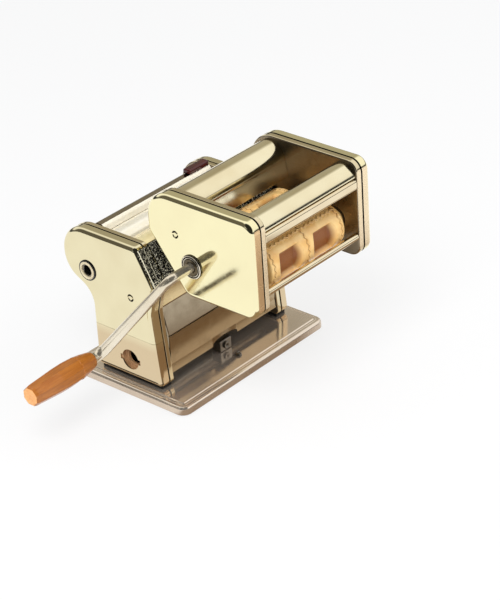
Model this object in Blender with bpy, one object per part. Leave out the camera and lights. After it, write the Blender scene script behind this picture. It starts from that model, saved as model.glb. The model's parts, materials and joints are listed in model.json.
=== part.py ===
"""Ravioli maker: a sheet-rolling body with a two-row ravioli unit hung on its slanted front.

Metres, +Z up. X runs along the rollers, -Y is the front, and the crank is on the left (-X).
The pieces are laid out round the middle of the base, and the whole machine is then moved so that
the origin is the centre of its own footprint, on the table.
"""

import math

import bmesh
import bpy
from mathutils import Matrix, Vector
from mathutils.geometry import tessellate_polygon

MM = 0.001

# Clearances
SEAT = 0.3 * MM
RUN = 0.35 * MM
OVERRUN = 2 * MM

# Steps of the round shapes
ARC_STEP = math.radians(24)
ROUND_SIDES = 24
ROLLER_SIDES = 32
FORMING_SIDES = 24
SMALL_SIDES = 16
POCKET_STEP = math.radians(45)
SMOOTH_ANGLE = math.radians(32)

# Widths: the unit sits between the body's cheeks, and the body stands on the base
UNIT_WIDTH = 160 * MM
UNIT_STEP = 10 * MM
BODY_WIDTH = UNIT_WIDTH + 2 * UNIT_STEP
BODY_STEP = 10 * MM
BASE_WIDTH = BODY_WIDTH + 2 * BODY_STEP

# Base tray
BASE_DEPTH = 145 * MM
BASE_CORNER = 9 * MM
BASE_RIM_TOP = 9.2 * MM
BASE_FILLET = 3.2 * MM
BASE_WALL = 1.4 * MM
PLATEAU_INSET = 7 * MM
PLATEAU_RISE = 0.8 * MM
FOOT_RADIUS = 8 * MM
FOOT_DROP = 1 * MM
FOOT_INSET = 20 * MM
PAD_HEIGHT = 3 * MM
PAD_LENGTH = 9 * MM
PAD_WEB = 1.2 * MM

# Cheeks of the rolling body
CHEEK_DEPTH = 113 * MM
CHEEK_HEIGHT = 139 * MM
CHEEK_FRONT = 37.5 * MM
COVER_DEPTH = 11.5 * MM
COVER_WALL = 1.2 * MM
COVER_FILLET = 3.6 * MM
REBATE_WIDTH = 1.3 * MM
REBATE_DEPTH = 0.8 * MM
PLATE_DEPTH = 5.2 * MM
PLATE_WALL = 1.6 * MM
PLATE_FILLET = 1.5 * MM
# (front to rear share, bottom to top share, corner radius share of the height)
CHEEK_SHARES = (
    (0.0, 0.0, 0.032),
    (0.72, 0.0, 0.032),
    (0.712, 0.54, 0.155),
    (1.0, 0.665, 0.2),
    (1.0, 1.0, 0.2),
    (0.181, 1.0, 0.045),
    (0.0, 0.73, 0.06),
    (0.06, 0.54, 0.12),
)
CORNER_FACE_LOW = 6
CORNER_FACE_HIGH = 5
CORNER_WAIST = 7
CORNER_BACK_LOW = 1
CORNER_BACK_WAIST = 2

# Panels between the cheeks
PANEL_INSET = 2.2 * MM
PANEL_WALL = 1.3 * MM
SLOT_HEIGHT = 12 * MM
ARCH_HALF_WIDTH = 17 * MM
ARCH_HEIGHT = 6 * MM
ARCH_FULLNESS = 0.6
REAR_WALL_INSET = 3 * MM
REAR_TOP_DROP = 1.2 * MM
REAR_STRIP_WIDTH = 10 * MM
REAR_CORNER = 3 * MM
REAR_EXIT_HEIGHT = 46 * MM
CLAMP_BLOCK_WIDTH = 16 * MM
CLAMP_BLOCK_DEPTH = 11 * MM
CLAMP_BOSS_RADIUS = 3.6 * MM
CLAMP_BOSS_LENGTH = 2 * MM
CLAMP_SCREW_RADIUS = 3.2 * MM
CLAMP_SCREW_REACH = 13 * MM
TIE_ROD_RADIUS = 4 * MM
TIE_ROD_INSET = 17 * MM
CLIP_LENGTH = 27 * MM
CLIP_WIDTH = 9 * MM
CLIP_HEIGHT = 5 * MM

# Sheet rollers, their gears and bushes
SHEET_ROLLER_RADIUS = 14.5 * MM
SHEET_ROLLER_GAP = 0.6 * MM
SHEET_ROLLER_RISE = 18.2 * MM
SHEET_GAP_OPEN = 2 * MM
REAR_ROLLER_SHARE = 0.558
JOURNAL_RADIUS = 5 * MM
JOURNAL_REACH = 1.2 * MM
BUSH_WALL = 2.8 * MM
BUSH_FLANGE = 1.6 * MM
BUSH_FLANGE_RISE = 1.8 * MM
SHEET_GEAR_TEETH = 14
GEAR_WIDTH = 6 * MM
GEAR_STANDOFF = 1.4 * MM
TOOTH_RISE_SHARE = 0.85
TOOTH_SINK_SHARE = 1.1
# (is it at the tip, share of the tooth step from the tooth's middle)
TOOTH_SHARES = ((False, -0.29), (True, -0.1), (True, 0.1), (False, 0.29))
INPUT_SHAFT_RADIUS = 6 * MM
INPUT_BACK_SHARE = 0.726
SOCKET_RADIUS = 4.9 * MM
SOCKET_DEPTH = 16 * MM
MOTOR_HOLE_RADIUS = 10 * MM
MOTOR_BACK_SHARE = 0.335
MOTOR_UP_SHARE = 0.136
MOTOR_NOTCH_WIDTH = 5 * MM
MOTOR_NOTCH_REACH = 2.2 * MM
MOTOR_RING_WALL = 4 * MM
MOTOR_RING_LENGTH = 7 * MM
BLOCK_DEPTH = 20 * MM
BLOCK_HEIGHT = 18 * MM
BLOCK_FLANGE = 3 * MM
SCRAPER_WALL = 1.2 * MM
SCRAPER_LENGTH = 14 * MM
SCRAPER_CLEARANCE = 0.7 * MM
SCRAPER_ANGLE = math.radians(72)

# Regulator of the roller gap
KNOB_RADIUS = 22 * MM
KNOB_DEPTH = 13 * MM
KNOB_PULL = 4 * MM
KNOB_STANDOFF = 1.2 * MM
KNOB_WEB = 3 * MM
KNOB_CAVITY_RADIUS = 8 * MM
KNOB_RIM_BEVEL = 1.5 * MM
KNOB_FLUTES = 8
KNOB_FLUTE_DEPTH = 1.1 * MM
REGULATOR_RADIUS = 4 * MM
REGULATOR_HEAD = 6.4 * MM
REGULATOR_HEAD_LENGTH = 1.8 * MM
ECCENTRIC_RADIUS = 7 * MM
ECCENTRIC_WIDTH = 4 * MM
SPRING_WIRE = 0.45 * MM
SPRING_TURNS = 3

# Ravioli unit
UNIT_DEPTH = 124 * MM
UNIT_HEIGHT = 95 * MM
UNIT_OVERHANG = 11 * MM
UNIT_DROP = 36.5 * MM
UNIT_COVER_DEPTH = 12 * MM
UNIT_PLATE_DEPTH = 5.6 * MM
UNIT_SHARES = (
    (0.0, 0.0, 0.126),
    (0.669, 0.0, 0.147),
    (1.0, 0.574, 0.105),
    (1.0, 1.0, 0.27),
    (0.0, 1.0, 0.126),
)
UNIT_CORNER_BACK_LOW = 1
UNIT_CORNER_BACK_HIGH = 2
BAR_DEPTH = 5 * MM
UPPER_BAR_HEIGHT = 11 * MM
LOWER_BAR_HEIGHT = 7 * MM
UPPER_BAR_SHARE = 0.715
LOWER_BAR_SHARE = 0.184
BAR_BEVEL = 1.2 * MM
CROSS_BAR_RADIUS = 4 * MM
CROSS_BAR_BACK_SHARE = 0.88
CROSS_BAR_UP_SHARE = 0.56
GUIDE_WALL = 1.2 * MM
REAR_GUIDE_RADIUS = 17 * MM
FRONT_GUIDE_RADIUS = 14.5 * MM
REAR_GUIDE_SHARE = 0.806
FRONT_GUIDE_INSET = 1.6 * MM
GUIDE_TOP_DROP = 3.4 * MM
GUIDE_THROAT_LENGTH = 15 * MM
GUIDE_SKIRT_LENGTH = 4 * MM
GUIDE_THROAT_LEAN = math.radians(12)
GUIDE_FRONT_END = math.radians(166)

# Forming rollers
FORMING_END_ROOM = 12.1 * MM
CELLS_ROUND = 3
FORMING_RADIUS = 22.5 * MM
FORMING_GAP = 0.4 * MM
FORMING_END_MARGIN = 4 * MM
FORMING_BACK_SHARE = 0.589
FORMING_UP_SHARE = 0.3465
RIDGE_HEIGHT = 1.1 * MM
RIDGE_SINK = 1.2 * MM
RIDGE_HALF_WIDTH = 0.8 * MM
ZIGZAG_REACH = 1.3 * MM
ZIGZAGS_ROUND = 9
ZIGZAGS_ALONG = 6
POCKET_LAND = 13 * MM
POCKET_TAPER = 14 * MM
POCKET_DEPTH = 7.5 * MM
POCKET_CORNER = 5 * MM
FORMING_JOURNAL_RADIUS = 8 * MM
FORMING_COLLAR_RADIUS = 10 * MM
FORMING_GEAR_TEETH = 20
STRIPPER_WALL = 1.5 * MM
STRIPPER_LENGTH = 13 * MM
STRIPPER_CLEARANCE = 0.8 * MM
STRIPPER_ANGLE = math.radians(50)
STRIPPER_LEAN = math.radians(64)

# Slide rails and the shoes that hook into them
RAIL_HALF_WIDTH = 11.5 * MM
RAIL_THICKNESS = 8 * MM
RAIL_FOOT = 2 * MM
RAIL_LENGTH = 38 * MM
RAIL_STOP = 4 * MM
RAIL_CAVITY_HALF_WIDTH = 5.8 * MM
RAIL_CAVITY_LOW = 2.2 * MM
RAIL_CAVITY_HIGH = 5.6 * MM
RAIL_GROOVE_HALF_WIDTH = 0.7 * MM
RAIL_GROOVE_DEPTH = 1 * MM
RAIL_GROOVE_PLACE_SHARE = 0.68
SHOE_WALL = 4.2 * MM
SHOE_OVERLAP = 13 * MM
SHOE_LENGTH = 30 * MM
SHOE_HIGH_SHARE = 0.25
SHOE_LOW_SHARE = 0.8

# Crank and handle
CRANK_RADIUS = 4.6 * MM
CRANK_TIP_RADIUS = 4.5 * MM
CRANK_ARM_RADIUS = 5.2 * MM
CRANK_STANDOFF = 30 * MM
CRANK_SPLAY = 20 * MM
CRANK_LENGTH = 115.4 * MM
CRANK_ANGLE = math.radians(50.6)
CRANK_BEND_RADIUS = 11 * MM
CRANK_TIP_DEPTH = 17 * MM
CRANK_PLUG_DEPTH = 21 * MM
CRANK_BUSH_WALL = 2.4 * MM
HANDLE_LENGTH = 77 * MM
HANDLE_RADIUS = 12 * MM
HANDLE_STANDOFF = 12 * MM
HANDLE_WOOD_END = 6 * MM
SPINDLE_RADIUS = 3.2 * MM
CRANK_POINTS = 6
# (share of the length from the crank, share of the widest radius)
HANDLE_SHARES = (
    (0.0, 0.6),
    (0.03, 0.67),
    (0.14, 0.82),
    (0.28, 0.95),
    (0.42, 1.0),
    (0.58, 0.98),
    (0.8, 0.89),
    (0.96, 0.82),
    (1.0, 0.74),
)

CHROME = ((0.82, 0.79, 0.7), 1.0, 0.12)
STEEL = ((0.6, 0.59, 0.56), 1.0, 0.3)
DARK_STEEL = ((0.05, 0.05, 0.05), 0.8, 0.4)
ROLLER_STEEL = ((0.85, 0.82, 0.72), 1.0, 0.18)
FORMING = ((0.85, 0.66, 0.42), 0.0, 0.35)
WOOD = ((0.62, 0.3, 0.11), 0.0, 0.4)
RUBBER = ((0.03, 0.03, 0.03), 0.0, 0.8)
RED_PLASTIC = ((0.16, 0.03, 0.025), 0.0, 0.2)
BLACK_PLASTIC = ((0.03, 0.03, 0.03), 0.0, 0.35)
WHITE_PLASTIC = ((0.85, 0.83, 0.78), 0.0, 0.4)

# Heights and planes that several pieces share
BASE_TOP = BASE_RIM_TOP + PLATEAU_RISE
CHEEK_BOTTOM = BASE_TOP + PAD_HEIGHT
CHEEK_TOP = CHEEK_BOTTOM + CHEEK_HEIGHT
BODY_HALF = BODY_WIDTH / 2
SEAM = BODY_HALF - COVER_DEPTH
PLATE_INNER = SEAM - SEAT - PLATE_DEPTH
UNIT_HALF = UNIT_WIDTH / 2
UNIT_SEAM = UNIT_HALF - UNIT_COVER_DEPTH
UNIT_INNER = UNIT_SEAM - SEAT - UNIT_PLATE_DEPTH
UNIT_BOTTOM = CHEEK_TOP - UNIT_DROP
UNIT_TOP = UNIT_BOTTOM + UNIT_HEIGHT
UNIT_FRONT = -CHEEK_FRONT + UNIT_OVERHANG - UNIT_DEPTH

# Roller, gear and crank axes as (y, z)
ROLLER_PITCH = 2 * SHEET_ROLLER_RADIUS + SHEET_ROLLER_GAP
REAR_AXIS = Vector((-CHEEK_FRONT + REAR_ROLLER_SHARE * CHEEK_DEPTH, CHEEK_TOP - SHEET_ROLLER_RISE))
FRONT_AXIS = REAR_AXIS - Vector((ROLLER_PITCH, 0))
INPUT_BACK = -CHEEK_FRONT + INPUT_BACK_SHARE * CHEEK_DEPTH
INPUT_DROP = math.sqrt(ROLLER_PITCH ** 2 - (INPUT_BACK - REAR_AXIS.x) ** 2)
INPUT_AXIS = Vector((INPUT_BACK, REAR_AXIS.y - INPUT_DROP))
MOTOR_AXIS = Vector((-CHEEK_FRONT + MOTOR_BACK_SHARE * CHEEK_DEPTH,
                     CHEEK_BOTTOM + MOTOR_UP_SHARE * CHEEK_HEIGHT))
CRANK_AXIS = Vector((UNIT_FRONT + FORMING_BACK_SHARE * UNIT_DEPTH,
                     UNIT_BOTTOM + FORMING_UP_SHARE * UNIT_HEIGHT))
FORMING_PITCH = 2 * FORMING_RADIUS + FORMING_GAP
FORMING_AXIS = CRANK_AXIS - Vector((FORMING_PITCH, 0))
FORMING_BODY = FORMING_RADIUS - RIDGE_HEIGHT
FORMING_HALF = UNIT_INNER - FORMING_END_ROOM
CELL = FORMING_HALF - FORMING_END_MARGIN
POCKET_MOUTH = CELL - POCKET_LAND
POCKET_FLOOR = POCKET_MOUTH - POCKET_TAPER


def corners_of(shares, low, size):
    """Corner list (u, v, radius) of an outline given as shares of its own box."""
    return [(low[0] + u * size[0], low[1] + v * size[1], r * size[1]) for u, v, r in shares]


CHEEK_CORNERS = corners_of(CHEEK_SHARES, (-CHEEK_FRONT, CHEEK_BOTTOM), (CHEEK_DEPTH, CHEEK_HEIGHT))
UNIT_CORNERS = corners_of(UNIT_SHARES, (UNIT_FRONT, UNIT_BOTTOM), (UNIT_DEPTH, UNIT_HEIGHT))

# Frames (origin, u, v, w) for flat outlines (u, v) carried along w
X, Y, Z = Vector((1, 0, 0)), Vector((0, 1, 0)), Vector((0, 0, 1))
ALONG_X = (Vector(), Y, Z, X)
ALONG_Z = (Vector(), X, Y, Z)
ALONG_Y = (Vector(), X, Z, Y)
FACE_LOW = Vector((0, *CHEEK_CORNERS[CORNER_FACE_LOW][:2]))
FACE_HIGH = Vector((0, *CHEEK_CORNERS[CORNER_FACE_HIGH][:2]))
RAIL_UP = (FACE_HIGH - FACE_LOW).normalized()
RAIL_OUT = X.cross(RAIL_UP)
RAIL_ORIGIN = FACE_LOW - PANEL_INSET * RAIL_OUT
SHOE_CENTRE = UNIT_INNER - SEAT - SHOE_WALL / 2

# Signs of a centred rectangle's corners, counter-clockwise
QUADRANTS = ((-1, -1), (1, -1), (1, 1), (-1, 1))

# Far ends of the machine, for the middle of its footprint
CRANK_ELBOW = -(UNIT_HALF + CRANK_STANDOFF)
HANDLE_START = CRANK_ELBOW - CRANK_SPLAY - HANDLE_STANDOFF
HANDLE_END = HANDLE_START - HANDLE_LENGTH
KNOB_FACE = BODY_HALF + KNOB_STANDOFF
KNOB_END = KNOB_FACE + KNOB_DEPTH + REGULATOR_HEAD_LENGTH + KNOB_PULL / 2
CHEEK_BACK = CHEEK_DEPTH - CHEEK_FRONT
MIDDLE = Vector(((HANDLE_END + KNOB_END) / 2, (UNIT_FRONT + CHEEK_BACK) / 2, 0))


def clear_scene():
    """Empty the file's scene."""
    for thing in list(bpy.data.objects):
        bpy.data.objects.remove(thing, do_unlink=True)


def finish(name, mesh, look, empty=None):
    """Link a mesh or curve as an object with its own material, hung on a joint's empty."""
    piece = bpy.data.objects.new(name, mesh)
    bpy.context.scene.collection.objects.link(piece)
    colour, metallic, roughness = look
    material = bpy.data.materials.new(name + "_finish")
    material.use_nodes = True
    shader = material.node_tree.nodes["Principled BSDF"]
    shader.inputs["Base Color"].default_value = (*colour, 1)
    shader.inputs["Metallic"].default_value = metallic
    shader.inputs["Roughness"].default_value = roughness
    mesh.materials.append(material)
    if empty is not None:
        mesh.transform(Matrix.Translation(-empty.matrix_world.translation))
        piece.parent = empty
    return piece


def joint_empty(name, x, axis, parent=None):
    """An empty at (x, y, z) that marks a joint; axis is its (y, z)."""
    empty = bpy.data.objects.new(name, None)
    bpy.context.scene.collection.objects.link(empty)
    place = Vector((x, *axis))
    empty.matrix_world = Matrix.Translation(place)
    if parent is not None:
        empty.parent = parent
        empty.matrix_parent_inverse = Matrix.Translation(-parent.matrix_world.translation)
    bpy.context.view_layer.update()
    return empty


def mesh_of(name, points, faces):
    """A mesh with outward faces, smooth but for its sharp edges."""
    mesh = bpy.data.meshes.new(name)
    mesh.from_pydata([tuple(p) for p in points], [], faces)
    shaping = bmesh.new()
    shaping.from_mesh(mesh)
    bmesh.ops.recalc_face_normals(shaping, faces=shaping.faces)
    shaping.to_mesh(mesh)
    shaping.free()
    mesh.shade_smooth()
    mesh.set_sharp_from_angle(angle=SMOOTH_ANGLE)
    return mesh


def loft(name, rings, look, empty=None, closed=False):
    """Skin equal rings of points; the ends are capped, or joined when closed."""
    size = len(rings[0])
    points = [point for ring in rings for point in ring]
    faces = []
    for r in range(len(rings) if closed else len(rings) - 1):
        here, there = r * size, ((r + 1) % len(rings)) * size
        for i in range(size):
            j = (i + 1) % size
            faces.append((here + i, here + j, there + j, there + i))
    if not closed:
        faces.append(tuple(range(size)))
        faces.append(tuple(range(len(points) - size, len(points))))
    return finish(name, mesh_of(name, points, faces), look, empty)


def prism(name, loops, frame, start, end, look, empty=None):
    """Carry flat loops (the first is the outline, the rest are holes) along a frame's w."""
    origin, u, v, w = frame
    flat = [point for loop in loops for point in loop]
    count = len(flat)
    points = [origin + a * u + b * v + depth * w for depth in (start, end) for a, b in flat]
    caps = tessellate_polygon([[Vector((a, b, 0)) for a, b in loop] for loop in loops])
    faces = [tuple(c) for c in caps] + [tuple(i + count for i in c) for c in caps]
    first = 0
    for loop in loops:
        for i in range(len(loop)):
            a, b = first + i, first + (i + 1) % len(loop)
            faces.append((a, b, b + count, a + count))
        first += len(loop)
    return finish(name, mesh_of(name, points, faces), look, empty)


def rounded(corners, closed=True, step=ARC_STEP):
    """Replace the corners (u, v, radius) of a path by arcs that fit its edges."""
    places = [Vector(corner[:2]) for corner in corners]
    count = len(places)
    halves, trims = [], []
    for i, corner in enumerate(corners):
        if not closed and i in (0, count - 1):
            halves.append(math.pi / 2)
            trims.append(0.0)
            continue
        before, after = places[i - 1] - places[i], places[(i + 1) % count] - places[i]
        halves.append(before.angle(after) / 2)
        trims.append(corner[2] / math.tan(halves[i]))
    scale = [1.0] * count
    for i in range(count if closed else count - 1):
        j = (i + 1) % count
        total = trims[i] + trims[j]
        room = (places[j] - places[i]).length
        if total > room:
            scale[i], scale[j] = (min(s, room / total) for s in (scale[i], scale[j]))
    path = []
    for i in range(count):
        trim = trims[i] * scale[i]
        if trim == 0:
            path.append(places[i])
            continue
        before = (places[i - 1] - places[i]).normalized()
        after = (places[(i + 1) % count] - places[i]).normalized()
        radius = trim * math.tan(halves[i])
        centre = places[i] + (before + after).normalized() * radius / math.sin(halves[i])
        arm = places[i] + before * trim - centre
        goal = places[i] + after * trim - centre
        sweep = math.atan2(arm.cross(goal), arm.dot(goal))
        steps = max(1, round(abs(sweep) / step))
        for k in range(steps + 1):
            path.append(centre + Matrix.Rotation(sweep * k / steps, 2) @ arm)
    return path


def offset(path, distance, closed=True):
    """Move a path sideways; positive is to the right, outwards on a counter-clockwise one."""
    count = len(path)
    moved = []
    for i in range(count):
        before = path[i] - path[i - 1] if closed or i else path[1] - path[0]
        after = path[(i + 1) % count] - path[i] if closed or i < count - 1 else before
        middle = (before.normalized() + after.normalized()).normalized()
        lean = max(middle.dot(after.normalized()), 0.5)
        moved.append(path[i] + Vector((middle.y, -middle.x)) * distance / lean)
    return moved


def strip(path, near, wall):
    """Closed outline of a sheet that follows a path, inside it from near to near + wall."""
    return offset(path, -near, False) + offset(path, -near - wall, False)[::-1]


def arc(centre, radius, start, end, steps):
    """Points of an arc in a plane."""
    return [centre + radius * Vector((math.cos(a), math.sin(a)))
            for a in (start + (end - start) * k / steps for k in range(steps + 1))]


def circle_point(centre, radius, angle):
    """One point of a circle in a plane, as a list."""
    return [centre + radius * Vector((math.cos(angle), math.sin(angle)))]


def circle(centre, radius, sides):
    """Points of a circle in a plane, from its right-hand side."""
    return arc(centre, radius, 0, 2 * math.pi, sides)[:-1]


def stadium(a, b, radius):
    """Outline round two circles of one radius; one circle when both centres are the same."""
    if a == b:
        return circle(a, radius, ROUND_SIDES)
    heading = math.atan2((b - a).y, (b - a).x)
    steps = ROUND_SIDES // 2
    return arc(b, radius, heading - math.pi / 2, heading + math.pi / 2, steps) + arc(
        a, radius, heading + math.pi / 2, heading + 3 * math.pi / 2, steps)


def turned(name, profile, axis, look, empty=None, bored=False, sides=ROUND_SIDES):
    """Turn a profile of (x, radius) round the X line through axis (y, z)."""
    rings = [[(x, y, z) for y, z in circle(axis, radius, sides)] for x, radius in profile]
    return loft(name, rings, look, empty, bored)


def mirrored(side, profile):
    """A left or right copy of a profile given for the right, side -1 or +1."""
    return [(side * x, radius) for x, radius in profile]


def boolean(target, helpers, operation="DIFFERENCE"):
    """Cut or join with helper objects, all in one step; they stay in the file as wires."""
    tools = bpy.data.collections.new(f"{target.name}_{operation.lower()}")
    for helper in helpers:
        helper.hide_render = True
        helper.display_type = "WIRE"
        tools.objects.link(helper)
    step = target.modifiers.new(operation.title(), "BOOLEAN")
    step.operation = operation
    step.solver = "EXACT"
    step.operand_type = "COLLECTION"
    step.collection = tools


def plug(name, axis, radius, low, high):
    """A plain cylinder along X that drills a hole or adds a boss."""
    return turned(name, [(low, radius), (high, radius)], axis, STEEL, sides=SMALL_SIDES)


def pressed_cover(name, corners, side, outer, depth, look, empty=None):
    """A hollow pressed cheek: rounded face, rolled edge and a stepped rim at the seam."""
    path = rounded(corners)
    steps = 2
    profile = [(outer - COVER_FILLET * (1 - math.cos(a)), COVER_FILLET * (1 - math.sin(a)))
               for a in (math.pi / 2 * k / steps for k in range(steps + 1))]
    rim = outer - depth
    profile += [(rim + REBATE_WIDTH, 0), (rim + REBATE_WIDTH, REBATE_DEPTH), (rim, REBATE_DEPTH)]
    profile += [(rim, COVER_WALL), (outer - COVER_FILLET, COVER_WALL), (outer - COVER_WALL, COVER_FILLET)]
    rings = [[(side * x, y, z) for y, z in offset(path, -inset)] for x, inset in profile]
    return loft(name, rings, look, empty)


def pressed_plate(name, corners, side, inner, depth, look, empty=None):
    """The inner half of a cheek: a flat plate with a rim turned towards the cover."""
    path = rounded(corners)
    rim = inner + depth
    middle = PLATE_FILLET * (1 - math.cos(math.pi / 4))
    profile = [(inner, PLATE_FILLET), (inner + middle, middle), (inner + PLATE_FILLET, 0), (rim, 0)]
    profile += [(rim, PLATE_WALL), (inner + PLATE_WALL, PLATE_WALL)]
    rings = [[(side * x, y, z) for y, z in offset(path, -inset)] for x, inset in profile]
    return loft(name, rings, look, empty)


def gear(name, teeth, pitch_radius, low, high, axis, bore, turn, empty):
    """A spur gear whose straight-sided teeth leave play for the moving centre."""
    module = 2 * pitch_radius / teeth
    step = 2 * math.pi / teeth
    tip, root = pitch_radius + TOOTH_RISE_SHARE * module, pitch_radius - TOOTH_SINK_SHARE * module
    outline = []
    for k in range(teeth):
        for at_tip, share in TOOTH_SHARES:
            outline += circle_point(axis, tip if at_tip else root, turn + (k + share) * step)
    loops = [outline, circle(axis, bore, ROUND_SIDES // 2)[::-1]]
    return prism(name, loops, ALONG_X, low, high, STEEL, empty)


def base_tray():
    """The pressed tray under the body, open below, with a rim and a raised middle."""
    corners = [(sx * BASE_WIDTH / 2, sy * BASE_DEPTH / 2, BASE_CORNER) for sx, sy in QUADRANTS]
    path = rounded(corners)
    profile = [(BASE_TOP, PLATEAU_INSET + PLATEAU_RISE), (BASE_RIM_TOP, PLATEAU_INSET)]
    profile += [(BASE_RIM_TOP - BASE_FILLET * (1 - math.cos(a)), BASE_FILLET * (1 - math.sin(a)))
                for a in (math.pi / 6 * k for k in range(4))]
    inside = BASE_RIM_TOP - BASE_WALL
    profile += [(FOOT_DROP, 0), (FOOT_DROP, BASE_WALL), (BASE_RIM_TOP - BASE_FILLET, BASE_WALL)]
    profile += [(inside, BASE_FILLET), (inside, PLATEAU_INSET + PLATEAU_RISE)]
    rings = [[(x, y, z) for x, y in offset(path, -inset)] for z, inset in profile]
    loft("base_tray", rings, CHROME)


def block(name, low, high, look=STEEL):
    """A box between two corners."""
    outline = [(low[0], low[1]), (high[0], low[1]), (high[0], high[1]), (low[0], high[1])]
    return prism(name, [outline], ALONG_Z, low[2], high[2], look)


def feet_and_pads():
    """Rubber feet inside the tray and the padded strips that carry the cheeks above it."""
    top = BASE_RIM_TOP - BASE_WALL - SEAT
    for side_x, word in ((-1, "left"), (1, "right")):
        for side_y, end in ((-1, "front"), (1, "rear")):
            place = Vector((side_x * (BASE_WIDTH / 2 - FOOT_INSET), side_y * (BASE_DEPTH / 2 - FOOT_INSET)))
            outline = circle(place, FOOT_RADIUS, SMALL_SIDES)
            prism(f"rubber_foot_{end}_{word}", [outline], ALONG_Z, 0, top, RUBBER)
    near, far = PLATE_INNER + PLATE_WALL, BODY_HALF - COVER_FILLET
    front = -CHEEK_FRONT + COVER_FILLET
    back = CHEEK_CORNERS[CORNER_BACK_LOW][0] - COVER_FILLET - PAD_LENGTH
    low, web, high = BASE_TOP + SEAT, BASE_TOP + PAD_WEB, CHEEK_BOTTOM - SEAT
    comb = [(back + PAD_LENGTH, low)]
    for start in (back, (front + back) / 2, front):
        comb += [(start + PAD_LENGTH, web), (start + PAD_LENGTH, high), (start, high), (start, web)]
    comb = comb[:1] + comb[2:-1] + [(front, low)]
    for side, word in ((-1, "left"), (1, "right")):
        prism(f"cheek_pad_{word}", [comb], ALONG_X, *sorted((side * near, side * far)), RUBBER)


def cheeks():
    """Both cheeks of the rolling body with the holes for shafts, bushes and the motor."""
    hole = JOURNAL_RADIUS + RUN + BUSH_WALL + SEAT
    input_hole = INPUT_SHAFT_RADIUS + RUN + BUSH_WALL + SEAT
    ahead = FRONT_AXIS - Vector((BLOCK_DEPTH / 2 + SHEET_GAP_OPEN + RUN, BLOCK_HEIGHT / 2))
    behind = FRONT_AXIS + Vector((BLOCK_DEPTH / 2 + RUN, BLOCK_HEIGHT / 2))
    notch = Vector((MOTOR_HOLE_RADIUS + MOTOR_NOTCH_REACH, MOTOR_NOTCH_WIDTH / 2))
    for side, word in ((-1, "left"), (1, "right")):
        cover = pressed_cover(f"cheek_cover_{word}", CHEEK_CORNERS, side, BODY_HALF, COVER_DEPTH, CHROME)
        plate = pressed_plate(f"side_plate_{word}", CHEEK_CORNERS, side, PLATE_INNER, PLATE_DEPTH, STEEL)
        span = sorted((side * (PLATE_INNER - OVERRUN), side * (PLATE_INNER + PLATE_WALL + OVERRUN)))
        wall = sorted((side * (BODY_HALF - COVER_WALL - OVERRUN), side * (BODY_HALF + OVERRUN)))
        in_plate = [plug(f"roller_hole_{word}", REAR_AXIS, hole, *span),
                    block(f"block_window_{word}", (span[0], *ahead), (span[1], *behind))]
        if side < 0:
            in_plate.append(plug("input_plate_hole", INPUT_AXIS, input_hole, *span))
            low, high = (wall[0], *(MOTOR_AXIS - notch)), (wall[1], *(MOTOR_AXIS + notch))
            in_cover = [plug("input_cover_hole", INPUT_AXIS, input_hole, *wall),
                        plug("motor_hole", MOTOR_AXIS, MOTOR_HOLE_RADIUS, *wall),
                        block("motor_notches", low, high)]
        else:
            in_cover = [plug("regulator_hole", FRONT_AXIS, REGULATOR_RADIUS + RUN, *wall)]
        boolean(plate, in_plate)
        boolean(cover, in_cover)


def panels():
    """The bent front panel with its clamp arch, and the rear cover over the back roller."""
    reach = PLATE_INNER - SEAT
    foot = Vector((-CHEEK_FRONT, BASE_TOP + SLOT_HEIGHT))
    chosen = [CHEEK_CORNERS[i] for i in (CORNER_FACE_HIGH, CORNER_FACE_LOW, CORNER_WAIST)]
    path = rounded(chosen + [(*foot, 0)], closed=False)
    top = path[0].lerp(path[1], PANEL_INSET / (path[1] - path[0]).length)
    outline = strip([top] + path[1:], PANEL_INSET, PANEL_WALL)
    front = prism("front_panel", [outline], ALONG_X, -reach, reach, CHROME)
    arch = [(ARCH_HALF_WIDTH, foot.y - OVERRUN), (ARCH_HALF_WIDTH, foot.y)]
    arch += [(ARCH_HALF_WIDTH * math.cos(a), foot.y + ARCH_HEIGHT * math.sin(a) ** ARCH_FULLNESS)
             for a in (math.pi * k / 8 for k in range(1, 8))]
    arch += [(-ARCH_HALF_WIDTH, foot.y), (-ARCH_HALF_WIDTH, foot.y - OVERRUN)]
    tool = prism("front_panel_arch", [arch], ALONG_Y, -CHEEK_FRONT - OVERRUN,
                 -CHEEK_FRONT + PANEL_INSET + PANEL_WALL + 2 * OVERRUN, STEEL)
    boolean(front, [tool])
    lip = REAR_AXIS.x + SHEET_ROLLER_RADIUS - BUSH_WALL
    level = CHEEK_TOP - REAR_TOP_DROP
    waist = CHEEK_CORNERS[CORNER_BACK_WAIST]
    rear_path = rounded([
        (waist[0] - REAR_WALL_INSET, BASE_TOP + REAR_EXIT_HEIGHT, 0),
        (waist[0] - REAR_WALL_INSET, waist[1], waist[2]),
        (lip + REAR_STRIP_WIDTH, level, REAR_CORNER),
        (lip, level, 0),
    ], closed=False)
    prism("rear_cover", [strip(rear_path, -PANEL_WALL, PANEL_WALL)[::-1]], ALONG_X, -reach, reach, CHROME)
    clip_front = lip + (REAR_STRIP_WIDTH - CLIP_WIDTH) / 2
    rise = level + PANEL_WALL + SEAT
    corners = [(clip_front, rise, 0), (clip_front + CLIP_WIDTH, rise, 0),
               (clip_front + CLIP_WIDTH, rise + CLIP_HEIGHT, CLIP_HEIGHT / 2),
               (clip_front, rise + CLIP_HEIGHT, CLIP_HEIGHT / 2)]
    path = rounded(corners[1:] + corners[:1], closed=False)
    prism("rear_clip", [path], ALONG_X, reach - CLIP_LENGTH, reach, RED_PLASTIC)


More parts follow.
